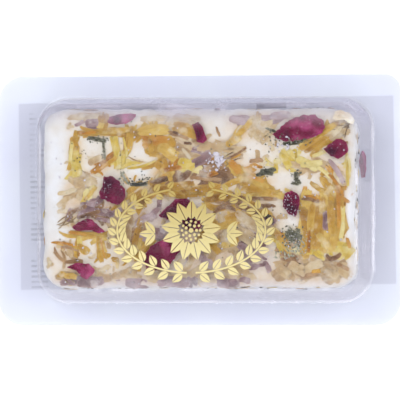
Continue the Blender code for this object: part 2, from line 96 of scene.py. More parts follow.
# Where the dome is milky, and where its painted highlight lines and painted shade lie: how far inside the
# outline of its foot, how high, and how far back.
WALL_ENDS = (2.2 * MM, 3.4 * MM)
# Lines of paler milk at the dome's foot and shoulder are painted highlights.
PAINTED_FOOT_HIGHLIGHT = (-0.3 * MM, 0.2 * MM)
PAINTED_SHOULDER_HIGHLIGHT = (3.3 * MM, 3.8 * MM)
SHOULDER_HIGHLIGHT_HEIGHTS = (19.0 * MM, 20.0 * MM)
SHADED_BACK_WALL = (21.0 * MM, 28.0 * MM)
# Soft edges of the painted highlight lines, and round the petal that touches the wall.
HIGHLIGHT_LINE_EDGE, TOUCH_EDGE = 0.3 * MM, 2 * MM
# Where the top's edges begin to be milky, as shares of half the dome's width and length.
FRONT_EDGE = (0.70, 0.92)
END_EDGE = (0.86, 0.97)
# How much of what lies behind it this milkiness, with its painted highlights and painted shade, hides, from
# 0 to 1.
WALL_HAZE = 0.13
BACK_HAZE_AND_SHADE = 0.24
FRONT_HAZE = 0.14
END_HAZE = 0.08
SHOULDER_HIGHLIGHT_HAZE = 0.22
FOOT_HIGHLIGHT_HAZE = 0.20
LEAST_FOOT_HIGHLIGHT_HAZE = 0.08
SMEAR_HAZE = 0.010
LEAST_HAZE = 0.001
# How much of the milkiness and of the gloss is gone where the petal touches the wall.
TOUCH_CLEARS, TOUCH_DULLS = 0.9, 0.6
# Gloss at a slant, on the walls, and everywhere.
SLANT_GLOSS = 0.7
WALL_GLOSS = 0.02
LEAST_GLOSS = 0.005

# Bars on the label, along it and across it.
LABEL_EDGE = 0.6 * MM
BAR_EDGE = 0.3 * MM
BAR_SPACING = 1.7 * MM
BAR_COLUMN = (-57.0 * MM, -52.0 * MM)
COLUMN_EDGE = 0.4 * MM
COLUMN_SHADE = 0.30
BACK_BARS = (27.0 * MM, 28.6 * MM)
LONG_BAR = (-38.0 * MM, -12.0 * MM)
LONG_BAR_SHADE = 0.30
SHORT_BAR = (17.0 * MM, 26.0 * MM)
SHORT_BAR_SHADE = 0.75
# Fields of colour on its underside.
UNDERSIDE = (0.05 * MM, 0.15 * MM)
FIELD_EDGE = (-20.0 * MM, -19.0 * MM)
FIELD_SLANT = 0.25
GOLD_BAND = (16.3 * MM, 22.0 * MM)

# The cheese.
CHEESE_LENGTH = 100.0 * MM
CHEESE_WIDTH = 57.3 * MM
CHEESE_CORNER = 7.0 * MM
CHEESE_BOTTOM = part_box("cheese")[0].z
CHEESE_TOP = 19.3 * MM
CHEESE_EDGE = 3.0 * MM
CHEESE_FOOT = 1.2 * MM
CHEESE_FOOT_TAPER = 0.2 * MM
LUMP_LENGTH = 5.5 * MM
LUMP_FLATNESS = 1.6
LUMP_PLAY = Vector((7.0, 3.0, 1.0))
TOP_UNEVENNESS = 0.32 * MM
SIDE_UNEVENNESS = 0.9 * MM
# The height and length of the crumbs, and the depth and spacing of the pits.
COARSE_CRUMB = (0.18 * MM, 1.7 * MM)
FINE_CRUMB = (0.09 * MM, 0.8 * MM)
CRUMB_ON_TOP = 0.6
PITS = (1.3 * MM, 3.1 * MM)
PIT_START = 0.25

# Toppings lie between the cheese's top and the inside of the dome.
CEILING = DOME_TOP - WALL - 0.12 * MM
TOPPING_THICKNESS = 0.12 * MM

# The photograph's frame: a place on the toppings for a pixel of it.
PIXEL = 0.3195 * MM
PIXEL_MIDDLE = (199.5, 200.0)
TOPPINGS_MIDDLE = (2.5 * MM, -0.7 * MM)


def seen_at(px, py):
    """The place on the toppings that shows at a pixel of the photograph."""
    x = (px - PIXEL_MIDDLE[0]) * PIXEL + TOPPINGS_MIDDLE[0]
    y = (PIXEL_MIDDLE[1] - py) * PIXEL + TOPPINGS_MIDDLE[1]
    return Vector((x, y))


# Node trees


class Socket:
    """An output of a node that takes part in sums. Each operation adds one Math node."""

    def __init__(self, tree, output):
        self.tree = tree
        self.output = output

    def math(self, operation, *others):
        return self.tree.math(operation, self, *others)

    def __add__(self, other):
        return self.math("ADD", other)

    def __sub__(self, other):
        return self.math("SUBTRACT", other)

    def __mul__(self, other):
        return self.math("MULTIPLY", other)

    def __truediv__(self, other):
        return self.math("DIVIDE", other)

    def __pow__(self, other):
        return self.math("POWER", other)

    def __rsub__(self, other):
        return self.tree.math("SUBTRACT", other, self)

    def __rtruediv__(self, other):
        return self.tree.math("DIVIDE", other, self)

    def __abs__(self):
        return self.math("ABSOLUTE")

    __radd__ = __add__
    __rmul__ = __mul__

    def over(self, low, high):
        """0 up to low, 1 from high on, and smooth between."""
        settings = {"interpolation_type": "SMOOTHSTEP"}
        sockets = {"Value": self, "From Min": low, "From Max": high}
        return self.tree.node("ShaderNodeMapRange", settings, sockets)

    def limited(self):
        return self.tree.node("ShaderNodeClamp", {}, {0: self})

    def part(self, index):
        """X, Y or Z of a vector."""
        return self.tree.node("ShaderNodeSeparateXYZ", {}, {0: self}, index)


class Tree:
    """A node tree that is being built, of a material or of Geometry Nodes."""

    def __init__(self, tree):
        self.tree = tree
        tree.nodes.clear()

    def node(self, kind, settings=None, sockets=None, output=0):
        """Adds a node. settings are set first, then each socket gets its value or its link."""
        made = self.tree.nodes.new(kind)
        for name, value in (settings or {}).items():
            if name == "stops":
                self.fill_ramp(made.color_ramp, value)
            else:
                setattr(made, name, value)
        for name, value in (sockets or {}).items():
            if isinstance(value, Socket):
                self.tree.links.new(value.output, made.inputs[name])
            else:
                made.inputs[name].default_value = value
        return Socket(self, made.outputs[output]) if made.outputs else made

    @staticmethod
    def fill_ramp(ramp, stops):
        while len(ramp.elements) < len(stops):
            ramp.elements.new(1.0)
        for element, (position, colour) in zip(ramp.elements, stops):
            element.position = position
            element.color = (*colour, 1.0)

    def math(self, operation, *values):
        return self.node("ShaderNodeMath", {"operation": operation}, dict(enumerate(values)))

    def vector(self, x, y, z):
        return self.node("ShaderNodeCombineXYZ", {}, {0: x, 1: y, 2: z})


class Finish(Tree):
    """A material that is being built."""

    def __init__(self, name):
        self.material = bpy.data.materials.new(name)
        self.material.use_nodes = True
        super().__init__(self.material.node_tree)
        self.place = self.node("ShaderNodeTexCoord", {}, {}, "Object")

    def noise(self, scale, detail=2.0, roughness=0.5, at=None, distortion=0.0):
        """Smooth noise from 0 to 1, with a grain of 1 / scale metres."""
        sockets = {"Vector": at or self.place, "Scale": scale, "Detail": detail}
        sockets.update({"Roughness": roughness, "Distortion": distortion})
        return self.node("ShaderNodeTexNoise", {}, sockets)

    def cells(self, scale, at=None):
        """Distance to the nearest of many scattered points."""
        return self.node("ShaderNodeTexVoronoi", {}, {"Vector": at or self.place, "Scale": scale})

    def attribute(self, name, output="Fac"):
        return self.node("ShaderNodeAttribute", {"attribute_name": name}, {}, output)

    def mix(self, share, low, high, blend="MIX"):
        """A colour between low and high."""
        settings = {"data_type": "RGBA", "blend_type": blend}
        sockets = {0: share}
        for index, colour in ((6, low), (7, high)):
            sockets[index] = colour if isinstance(colour, Socket) else (*colour, 1.0)
        return self.node("ShaderNodeMix", settings, sockets, 2)

    def ramp(self, share, *stops):
        return self.node("ShaderNodeValToRGB", {"stops": stops}, {0: share})

    def bump(self, height, distance, strength=1.0):
        sockets = {"Height": height, "Distance": distance, "Strength": strength}
        return self.node("ShaderNodeBump", {}, sockets)

    def principled(self, colour, roughness, metallic=0.0, normal=None, **others):
        sockets = {"Base Color": colour if isinstance(colour, Socket) else (*colour, 1.0)}
        sockets.update({"Roughness": roughness, "Metallic": metallic})
        sockets.update({name.replace("_", " "): value for name, value in others.items()})
        if normal:
            sockets["Normal"] = normal
        return self.node("ShaderNodeBsdfPrincipled", {}, sockets)

    def axes(self):
        """The place on each axis."""
        return [self.place.part(index) for index in range(3)]

    def over_clear(self, cover, shader, tint):
        """A see-through sheet, which the shader covers in part."""
        clear = self.node("ShaderNodeBsdfTransparent", {}, {"Color": (*tint, 1.0)})
        return self.done(self.node("ShaderNodeMixShader", {}, {0: cover, 1: clear, 2: shader}))

    def done(self, shader):
        self.node("ShaderNodeOutputMaterial", {"target": "ALL"}, {"Surface": shader})
        return self.material


def colour(red, green, blue):
    """A linear colour from the 0 to 255 values that a screen shows."""
    shares = [value / 255 for value in (red, green, blue)]
    return tuple(s / 12.92 if s <= 0.04045 else ((s + 0.055) / 1.055) ** 2.4 for s in shares)


# Finishes of the pack

# Milk of the top, of the walls and of the back; the greyer milk of the walls and back is painted shade.
MILK_ON_TOP = colour(234, 232, 240)
SHADED_MILK_ON_WALLS = colour(216, 212, 218)
SHADED_MILK_ON_BACK = colour(196, 191, 207)
CLEAR_SHEET = (0.985, 0.985, 0.995)
# Roughness: the least, and how much more a full haze or grain adds.
SHEET_ROUGHNESS = (0.06, 0.5)
FILM_ROUGHNESS = 0.4
PAPER_ROUGHNESS = 0.8
FOIL_ROUGHNESS = (0.24, 0.14)
FILM_TONES = (colour(240, 243, 255), colour(243, 247, 255))
FILM_OVER_LABEL = colour(201, 202, 216)
FILM_OVER_BARS = colour(96, 96, 108)
FILM_GREYING = 0.50
FILM_COVER = 0.74
FILM_CLOUDS = 0.04
CLEAR_FILM = (0.96, 0.97, 1.0)
PAPER_TONES = (colour(120, 122, 138), colour(150, 152, 166))
BAR_TONE = colour(60, 62, 76)
FIELD_TONES = (colour(196, 184, 206), colour(236, 234, 240))
BAND_TONE = colour(216, 190, 112)
# The gold runs from pale at the front to olive at the back: a painted reflection.
FOIL_TONES_AND_REFLECTION = (colour(255, 240, 178), colour(198, 174, 104))
PAINTED_FOIL_REFLECTION = (-22.0 * MM, 6.0 * MM)
FOIL_GRAIN = colour(190, 160, 90)


def between_values(value, low, high, soft):
    """1 where the value is from low to high."""
    return value.over(low - soft, low) * (1 - value.over(high, high + soft))


def inside_foot(x, y):
    """How far a place lies inside the outline of the dome's foot."""
    beyond_x = (abs(x - DOME_CENTRE.x) - (DOME_LENGTH / 2 - DOME_CORNER)).math("MAXIMUM", 0.0)
    beyond_y = (abs(y - DOME_CENTRE.y) - (DOME_WIDTH / 2 - DOME_CORNER)).math("MAXIMUM", 0.0)
    return DOME_CORNER - (beyond_x * beyond_x + beyond_y * beyond_y).math("SQRT")


def at_side_petal(x, y):
    """1 where the petal beside the cheese touches the wall, which is clearer there."""
    low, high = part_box(SIDE_PETAL[0])
    return x.over(low.x - TOUCH_EDGE, low.x) * between_values(y, low.y, high.y, TOUCH_EDGE)


def clear_plastic():
    """Thin clear plastic: see-through, glossy at a slant, milky on the walls and in smears, with painted
    highlight lines at its foot and shoulder and painted shade in greyer milk on its walls and back.
    """
    finish = Finish("clear_plastic")
    x, y, z = finish.axes()
    across = abs((x - DOME_CENTRE.x) / (DOME_LENGTH / 2))
    along = abs((y - DOME_CENTRE.y) / (DOME_WIDTH / 2))
    inward = inside_foot(x, y)
    wall = 1 - inward.over(*WALL_ENDS)
    raised = z.over(FLANGE_TOP, FLANGE_TOP + WALL_START)
    # The foot and shoulder lines add paler milk: painted highlights along the dome's foot and shoulder.
    painted_foot_highlight = between_values(inward, *PAINTED_FOOT_HIGHLIGHT, HIGHLIGHT_LINE_EDGE)
    painted_shoulder_highlight = between_values(inward, *PAINTED_SHOULDER_HIGHLIGHT, HIGHLIGHT_LINE_EDGE) * z.over(*SHOULDER_HIGHLIGHT_HEIGHTS)
    # At the back, more milk of a darker grey: a milky veil with painted shade over it.
    back = y.over(*SHADED_BACK_WALL) * BACK_HAZE_AND_SHADE
    near_edge = along.over(*FRONT_EDGE) * FRONT_HAZE + across.over(*END_EDGE) * END_HAZE + back
    touched = at_side_petal(x, y)

    smear = finish.noise(70, 3.0, 0.55, distortion=0.6).over(0.42, 0.78)
    broken = finish.noise(120, 2.0).over(0.35, 0.65)
    haze_and_painted_light = wall * WALL_HAZE * (1 - touched * TOUCH_CLEARS) + near_edge * (0.4 + smear)
    haze_and_painted_light = haze_and_painted_light + smear * SMEAR_HAZE + LEAST_HAZE + painted_shoulder_highlight * broken * SHOULDER_HIGHLIGHT_HAZE
    haze_and_painted_light = haze_and_painted_light * raised + painted_foot_highlight * (LEAST_FOOT_HIGHLIGHT_HAZE + broken * FOOT_HIGHLIGHT_HAZE) + LEAST_HAZE

    facing = finish.node("ShaderNodeLayerWeight", {}, {"Blend": 0.5}, "Facing")
    gloss = (facing**5 * SLANT_GLOSS + wall * WALL_GLOSS) * (1 - touched * TOUCH_DULLS) + LEAST_GLOSS
    cover = (haze_and_painted_light + gloss - haze_and_painted_light * gloss).limited()
    mirror = (gloss * (1 - haze_and_painted_light) / (cover + 0.001)).limited()
    # The walls and back get greyer milk, which is painted shade; the foot line keeps the paler milk of the
    # top, a painted highlight.
    milk_and_painted_light = finish.mix((wall * (1 - painted_foot_highlight) + back * 3).limited(), MILK_ON_TOP, SHADED_MILK_ON_WALLS)
    milk_and_painted_light = finish.mix((back * 4 * raised).limited(), milk_and_painted_light, SHADED_MILK_ON_BACK)
    ripple = finish.bump(finish.noise(160, 2.0).over(0.2, 0.8), 0.05 * MM, 0.35)
    least, more = SHEET_ROUGHNESS
    sheet = finish.principled(milk_and_painted_light, least + haze_and_painted_light * more, mirror, ripple)
    return finish.over_clear(cover, sheet, CLEAR_SHEET)


def lilac_film():
    """Milky, pale lilac film, greyer where the label is stuck to it."""
    finish = Finish("lilac_film")
    x, y, _ = finish.axes()
    cloud = finish.noise(45, 3.0)
    tone = finish.mix(cloud.over(0.3, 0.7), *FILM_TONES)
    along, across = on_label(x, y)
    over_label = 1 - abs(along).over(LABEL_LENGTH / 2 - LABEL_EDGE, LABEL_LENGTH / 2)
    over_label = over_label * (1 - abs(across).over(LABEL_WIDTH / 2 - LABEL_EDGE, LABEL_WIDTH / 2))
    tone = finish.mix(over_label * FILM_GREYING, tone, FILM_OVER_LABEL)
    tone = finish.mix(over_label * label_bars(finish, along, across), tone, FILM_OVER_BARS)
    relief = finish.bump(finish.noise(300), 0.03 * MM, 0.3)
    film = finish.principled(tone, FILM_ROUGHNESS, normal=relief)
    return finish.over_clear(FILM_COVER + cloud * FILM_CLOUDS, film, CLEAR_FILM)


def on_label(x, y):
    """Places along and across the label, which is stuck on a little askew."""
    x, y = x - LABEL_MIDDLE.x, y - LABEL_MIDDLE.y
    cosine, sine = math.cos(LABEL_TURN), math.sin(LABEL_TURN)
    return x * cosine + y * sine, y * cosine - x * sine


def label_bars(finish, along, across):
    """Plain faint bars on the label: a column of them at its left end, and two along its back."""
    lines = (across / BAR_SPACING).math("FRACT").over(0.45, 0.7)
    column = between_values(along, *BAR_COLUMN, COLUMN_EDGE)
    gaps = finish.noise(110, 1.0).over(0.40, 0.56)
    back = between_values(across, *BACK_BARS, BAR_EDGE)
    long_bar = between_values(along, *LONG_BAR, LABEL_EDGE) * LONG_BAR_SHADE
    short_bar = between_values(along, *SHORT_BAR, LABEL_EDGE) * SHORT_BAR_SHADE
    return (lines * column * gaps * COLUMN_SHADE + back * (long_bar + short_bar)).limited()


def label_paper():
    """Grey-lilac paper with faint bars on top, and soft fields of colour on its underside."""
    finish = Finish("label_paper")
    x, y, z = finish.axes()
    fibre = finish.noise(900, 3.0, 0.7)
    tone = finish.mix(fibre, *PAPER_TONES)
    tone = finish.mix(label_bars(finish, *on_label(x, y)), tone, BAR_TONE)
    fields = finish.mix((x + y * FIELD_SLANT).over(*FIELD_EDGE), *FIELD_TONES)
    fields = finish.mix(between_values(y, *GOLD_BAND, BAR_EDGE), fields, BAND_TONE)
    tone = finish.mix(1 - z.over(*UNDERSIDE), tone, fields)
    relief = finish.bump(fibre, 0.03 * MM, 0.4)
    return finish.done(finish.principled(tone, PAPER_ROUGHNESS, normal=relief))


def gold_foil():
    """Pressed gold foil, paler towards the front and olive towards the back: a painted reflection."""
    finish = Finish("gold_foil")
    grain = finish.noise(700, 2.0)
    # Paler towards the front, darker towards the back: painted reflection.
    tone = finish.mix(finish.place.part(1).over(*PAINTED_FOIL_REFLECTION), *FOIL_TONES_AND_REFLECTION)
    tone = finish.mix(grain * 0.2, tone, FOIL_GRAIN)
    least, more = FOIL_ROUGHNESS
    return finish.done(finish.principled(tone, least + grain * more, 1.0))


# Finishes of the food

CHEESE_WHITES = (colour(217, 219, 222), colour(210, 209, 207))
SMEAR_WHITE = colour(236, 228, 212)
HERB_TONES = (colour(40, 39, 30), colour(88, 87, 68), colour(164, 164, 144))
CRUMB_TONES = (colour(208, 205, 211), colour(184, 176, 184))
CHEESE_ROUGHNESS = (0.42, 0.25)
PETAL_ROUGHNESS = (0.36, 0.2)
CRUMB_ROUGHNESS = (0.3, 0.2)
HERB_ROUGHNESS = 0.6
# How far light spreads under the surface of the cheese and of a petal.
CHEESE_SOFTNESS = 1.0 * MM
PETAL_SOFTNESS = 0.8 * MM
# How much of a petal's shade comes from its tint, its grain, its blotches and its length.
TINT_SHARE, GRAIN_SHARE, BLOTCH_SHARE, LENGTH_SHARE = 0.75, 0.5, 0.8, 0.14
LEAST_SHADE = 0.12
VEIN_DARKENING = 0.30
RIM_FADING = 0.55


def goat_cheese():
    """Moist white cheese with a fine crumb, stained where petals lie on it."""
    finish = Finish("goat_cheese")
    crumb = finish.noise(900, 4.0, 0.65)
    lump = finish.noise(190, 3.0)
    pits = finish.cells(420).over(0.05, 0.35)
    white = finish.mix(lump.over(0.35, 0.7), *CHEESE_WHITES)
    stain = finish.attribute("stain", "Color")
    amount = finish.attribute("stain", "Alpha")
    patchy = (amount * (0.45 + finish.noise(420, 3.0) * 0.95)).limited()
    tone = finish.mix(patchy, white, stain)
    height = crumb * 0.6 + lump * 0.8 + pits * 0.25
    relief = finish.bump(height, 0.22 * MM, 0.6)
    soft = {"Subsurface_Weight": 0.35, "Subsurface_Scale": CHEESE_SOFTNESS}
    soft["Subsurface_Radius"] = (1.0, 0.97, 0.95)
    least, more = CHEESE_ROUGHNESS
    return finish.done(finish.principled(tone, least + crumb * more, normal=relief, **soft))


def petal_finish(name, dark, middle, light, ground, milky=0.5, streaks=5.0, gloss=0.3):
    """A moist petal with veins, blotches and smears of cheese. Its tint picks the colour."""
    finish = Finish(name)
    tint, along, across = (finish.attribute(value) for value in ("tint", "along", "across"))
    grain = finish.noise(650, 3.0, 0.6)
    blotch = finish.noise(300, 2.0)
    shade = tint * TINT_SHARE + LEAST_SHADE + (grain - 0.5) * GRAIN_SHARE
    shade = shade + (blotch - 0.5) * BLOTCH_SHARE + along * LENGTH_SHARE
    tone = finish.ramp(shade.limited(), (0.08, dark), (0.5, middle), (0.92, light))
    lines = finish.vector(along, across * streaks, tint * 9)
    veins = finish.noise(1.6, 3.0, 0.6, at=lines)
    tone = finish.mix(veins.over(0.42, 0.8) * VEIN_DARKENING, tone, dark)
    rim = (abs(across) ** 3 * 0.8 + along**6).limited()
    tone = finish.mix(rim * RIM_FADING, tone, ground)
    smear = finish.noise(200, 4.0, 0.6).over(0.50, 0.70)
    tone = finish.mix(smear * milky, tone, finish.mix(0.35, SMEAR_WHITE, ground))
    relief = finish.bump(veins * 0.8 + grain * 0.5 + smear, 0.05 * MM, 0.5)
    soft = {"Specular_IOR_Level": gloss, "Subsurface_Weight": 0.5, "Subsurface_Scale": PETAL_SOFTNESS}
    soft["Subsurface_Radius"] = (1.0, 0.8, 0.5)
    least, more = PETAL_ROUGHNESS
    return finish.done(finish.principled(tone, least + grain * more, normal=relief, **soft))


def herb_finish():
    """Dried herb, from nearly black to a dusty green."""
    finish = Finish("herb_flake")
    grain = finish.noise(1500, 3.0, 0.7)
    shade = finish.attribute("tint") + (grain - 0.5) * 0.5
    tone = finish.ramp(shade.limited(), *zip((0.1, 0.5, 0.95), HERB_TONES))
    relief = finish.bump(grain, 0.1 * MM, 0.6)
    return finish.done(finish.principled(tone, HERB_ROUGHNESS, normal=relief))


def crumb_finish():
    """Loose crumbs of cheese."""
    finish = Finish("white_crumb")
    grain = finish.noise(1800, 2.0)
    least, more = CRUMB_ROUGHNESS
    return finish.done(finish.principled(finish.mix(grain, *CRUMB_TONES), least + grain * more))


# Mesh helpers


def add_object(name, data):
    thing = bpy.data.objects.new(name, data)
    bpy.context.scene.collection.objects.link(thing)
    return thing


def mesh_object(name, bm, material=None, smooth=True):
    mesh = bpy.data.meshes.new(name)
    bm.to_mesh(mesh)
    bm.free()
    if smooth:
        mesh.shade_smooth()
    if material:
        mesh.materials.append(material)
    return add_object(name, mesh)


def sharpen(thing, degrees):
    """Shades the thing's edges flat from that angle on."""
    thing.data.set_sharp_from_angle(angle=math.radians(degrees))
    return thing


def keep(thing, slot, *nodes):
    """Makes thing a piece of the object, in place of the given nodes."""
    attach(thing, BODY)
    if nodes:
        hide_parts(*nodes)
    return thing


def settle(thing):
    """Turns what the modifiers make into a plain mesh and removes them."""
    depsgraph = bpy.context.evaluated_depsgraph_get()
    mesh = bpy.data.meshes.new_from_object(thing.evaluated_get(depsgraph), depsgraph=depsgraph)
    thing.modifiers.clear()
    thing.data = mesh


def points_of(mesh):
    """The places of the mesh's points, one row for each."""
    places = np.zeros(len(mesh.vertices) * 3)
    mesh.vertices.foreach_get("co", places)
    return places.reshape(-1, 3)


def write_values(mesh, name, kind, field, values):
    """Gives every point of the mesh a value by that name."""
    mesh.attributes.new(name, kind, "POINT").data.foreach_set(field, values)


def heading(angle):
    """The flat direction at an angle from X."""
    return Vector((math.cos(angle), math.sin(angle)))


def rounded_rectangle(centre, length, width, radii, arc_steps, long_steps, short_steps):
    """Points round a rectangle, anticlockwise from the right end of its back edge."""
    signs = ((1, 1), (-1, 1), (-1, -1), (1, -1))
    arcs = []
    for quarter, ((sx, sy), radius) in enumerate(zip(signs, radii)):
        middle = Vector((centre[0] + sx * (length / 2 - radius), centre[1] + sy * (width / 2 - radius)))
        turns = [(quarter + step / arc_steps) * math.pi / 2 for step in range(arc_steps + 1)]
        arcs.append([middle + radius * heading(turn) for turn in turns])
    points = []
    for index, arc in enumerate(arcs):
        following = arcs[(index + 1) % len(arcs)][0]
        steps = short_steps if index % 2 else long_steps
        points += arc + [arc[-1].lerp(following, step / steps) for step in range(1, steps)]
    return points


def bend(before, corner, after, radius, steps):
    """Points of an arc that rounds the corner of a flat (inset, height) line."""
    before, corner, after = Vector(before), Vector(corner), Vector(after)
    back, on = (before - corner).normalized(), (after - corner).normalized()
    half = back.angle(on) / 2
    reach = radius / math.tan(half)
    middle = corner + (back + on).normalized() * (radius / math.sin(half))
    start, end = corner + back * reach - middle, corner + on * reach - middle
    sweep = start.angle(end)
    points = []
    for step in range(steps + 1):
        part = step / steps
        blend = start * math.sin((1 - part) * sweep) + end * math.sin(part * sweep)
        points.append(middle + blend / math.sin(sweep))
    return points


def between(first, last, count):
    """count points from first to last, without either."""
    return [first.lerp(last, step / (count + 1)) for step in range(1, count + 1)]


def spaced(first, last, count):
    """count numbers from first to last."""
    return [first + (last - first) * step / (count - 1) for step in range(count)]


def loft(rings):
    """A closed solid through rings of 3-D points, with both ends filled."""
    bm = bmesh.new()
    made = [[bm.verts.new(point) for point in ring] for ring in rings]
    for lower, upper in zip(made, made[1:]):
        for index, point in enumerate(lower):
            following = (index + 1) % len(lower)
            bm.faces.new((point, lower[following], upper[following], upper[index]))
    bm.faces.new(made[0])
    bm.faces.new(made[-1])
    bmesh.ops.recalc_face_normals(bm, faces=bm.faces)
    return bm


def smooth_step(value):
    value = min(max(value, 0.0), 1.0)
    return value * value * (3 - 2 * value)


# The pack

# Steps along a quarter of an arc, a long side and a short side.
PACK_STEPS = (12, 40, 24)
FOOT_STEPS, WALL_STEPS, SHOULDER_STEPS = 6, 8, 9
FLANGE_STEPS = 4
# Insets of the first and last ring across the flat top, and their number.
TOP_RINGS = (8 * MM, 31 * MM, 10)
FLAT_REACH = 20 * MM
LEAST_DOME_CORNER = 0.8 * MM


def pack_outline(height):
    radii = (CORNER_BACK_RIGHT, CORNER_OTHERS, CORNER_OTHERS, CORNER_OTHERS)
    outline = rounded_rectangle((0, 0), PACK_LENGTH, PACK_WIDTH, radii, *PACK_STEPS)
    return [Vector((p.x, p.y, height)) for p in outline]


def crown_height(x, y):
    """How far the dome's top is raised at a place."""
    across = (x - DOME_CENTRE.x) / (DOME_LENGTH / 2)
    along = (y - DOME_CENTRE.y) / (DOME_WIDTH / 2)
    return CROWN * max(1 - across**2, 0.0) * max(1 - along**2, 0.0)


def dome_shape(point):
    """Crowns the top, dents the right wall and lets the thin sheet wave a little."""
    x, y, z = point
    top = smooth_step((z - DOME_TOP + SHOULDER_RADIUS) / SHOULDER_RADIUS)
    z += top * crown_height(x, y)
    if x > DOME_CENTRE.x + DENTED_END * DOME_LENGTH / 2:
        reach = ((y - DENT_AT.y) / DENT_HALF_SIZE[0]) ** 2 + ((z - DENT_AT.z) / DENT_HALF_SIZE[1]) ** 2
        x -= DENT_DEPTH * math.exp(-reach)
    wall = smooth_step((z - FLANGE_TOP) / WALL_START) * (1 - top)
    spot = Vector((x, y, z)) / WAVE_LENGTH
    x += noise.noise(spot + WAVE_PLAY) * WAVE_HEIGHT * wall
    y += noise.noise(spot - WAVE_PLAY) * WAVE_HEIGHT * wall
    return Vector((x, y, z))


def dome_profile(thickness):
    """(inset, height) points up one face of the dome, from the flange to its flat top."""
    foot = Vector((thickness, FLANGE_TOP - thickness))
    shoulder = Vector((DOME_DRAFT + thickness, DOME_TOP - thickness))
    outside, inside = (-FLAT_REACH, foot.y), (FLAT_REACH, shoulder.y)
    low = bend(outside, foot, shoulder, FOOT_RADIUS + thickness, FOOT_STEPS)
    high = bend(foot, shoulder, inside, SHOULDER_RADIUS - thickness, SHOULDER_STEPS)
    flat = [Vector((inset, shoulder.y)) for inset in spaced(*TOP_RINGS)]
    return low + between(low[-1], high[0], WALL_STEPS) + high + flat


def nested_rings(profile, size, corners, steps, shape):
    """Rounded rectangles round the dome's middle, one for each (inset, height), shaped point by point.

    corners has the radius of their corners without an inset, and the least radius.
    """
    rings = []
    for inset, height in profile:
        radius = max(corners[0] - inset, corners[1])
        length, width = (part - 2 * inset for part in size)
        ring = rounded_rectangle(DOME_CENTRE, length, width, (radius,) * 4, *steps)
        rings.append([shape((p.x, p.y, height)) for p in ring])
    return rings


def dome_rings(thickness):
    size, corners = (DOME_LENGTH, DOME_WIDTH), (DOME_CORNER, LEAST_DOME_CORNER)
    return nested_rings(dome_profile(thickness), size, corners, PACK_STEPS, dome_shape)


def flange_rings(outer, inner):
    """Rings across the flange, from the pack's edge to the dome's foot."""
    shares = [step / (FLANGE_STEPS + 1) for step in range(1, FLANGE_STEPS + 1)]
    return [[a.lerp(b, share) for a, b in zip(outer, inner)] for share in shares]


def make_dome(material):
    outside, inside = dome_rings(0.0), dome_rings(WALL)
    edge_top, edge_bottom = pack_outline(FLANGE_TOP), pack_outline(FLANGE_BOTTOM)
    rings = outside[::-1] + flange_rings(edge_top, outside[0])[::-1] + [edge_top]
    rings += [edge_bottom] + flange_rings(edge_bottom, inside[0]) + inside
    dome = sharpen(mesh_object("dome_shell", loft(rings), material), RIM_ANGLE)
    return keep(dome, "clear_plastic", "clear_dome")


def make_film(material):
    rings = [pack_outline(FILM_LOW.z), pack_outline(FILM_HIGH.z)]
    film = sharpen(mesh_object("film_sheet", loft(rings), material), RIM_ANGLE)
    return keep(film, "lilac_film", "bottom_film")


# The cheese

CHEESE_STEPS = (18, 210, 118)
CHEESE_SIDE_STEPS, CHEESE_EDGE_STEPS = 24, 7
CHEESE_TOP_RINGS = (3.6 * MM, 28.2 * MM, 54)
LEAST_CHEESE_CORNER = 0.4 * MM


def cheese_height(x, y):
    """The height of the cheese's uneven top, as the solid has it."""
    return CHEESE_TOP + TOP_UNEVENNESS * noise.noise(Vector((x, y, 0.0)) / LUMP_LENGTH)


def uneven(spot, height, length):
    """How far a surface of that unevenness stands out at a spot."""
    return noise.noise(spot / length) * height


def cheese_shape(point):
    """Gives the block its lumps, and pits and crumbs finer than the solid's."""
    spot = Vector(point)
    x, y, z = spot
    below_edge = smooth_step((CHEESE_TOP - z) / CHEESE_EDGE)
    above_foot = smooth_step((z - CHEESE_BOTTOM) / CHEESE_FOOT)
    lump = noise.noise(Vector((x, y, z * LUMP_FLATNESS)) / LUMP_LENGTH + LUMP_PLAY)
    away = Vector(((x - DOME_CENTRE.x) / CHEESE_LENGTH, (y - DOME_CENTRE.y) / CHEESE_WIDTH, 0.0))
    crumb = uneven(spot, *COARSE_CRUMB) + uneven(spot, *FINE_CRUMB)
    depth, spacing = PITS
    pit = max(noise.noise(spot / spacing) - PIT_START, 0.0) * depth
    inward = SIDE_UNEVENNESS * (0.5 + lump) + pit - crumb
    moved = spot - away.normalized() * below_edge * above_foot * inward
    on_top = smooth_step((z - CHEESE_TOP + CHEESE_EDGE) / CHEESE_EDGE)
    moved.z += on_top * (cheese_height(x, y) - CHEESE_TOP + crumb * CRUMB_ON_TOP)
    return moved


def make_cheese(material, stains):
    foot = [Vector((CHEESE_FOOT, CHEESE_BOTTOM))]
    foot.append(Vector((CHEESE_FOOT_TAPER, CHEESE_BOTTOM + CHEESE_FOOT)))
    corner, inside = (0.0, CHEESE_TOP), (FLAT_REACH, CHEESE_TOP)
    edge = bend((0.0, 0.0), corner, inside, CHEESE_EDGE, CHEESE_EDGE_STEPS)
    sides = between(foot[-1], edge[0], CHEESE_SIDE_STEPS)
    top = [Vector((inset, CHEESE_TOP)) for inset in spaced(*CHEESE_TOP_RINGS)]
    size, corners = (CHEESE_LENGTH, CHEESE_WIDTH), (CHEESE_CORNER, LEAST_CHEESE_CORNER)
    rings = nested_rings(foot + sides + edge + top, size, corners, CHEESE_STEPS, cheese_shape)
    cheese = mesh_object("cheese_block", loft(rings), material)
    stains.paint(cheese.data)
    keep(cheese, "goat_cheese", "cheese")


# Large petals

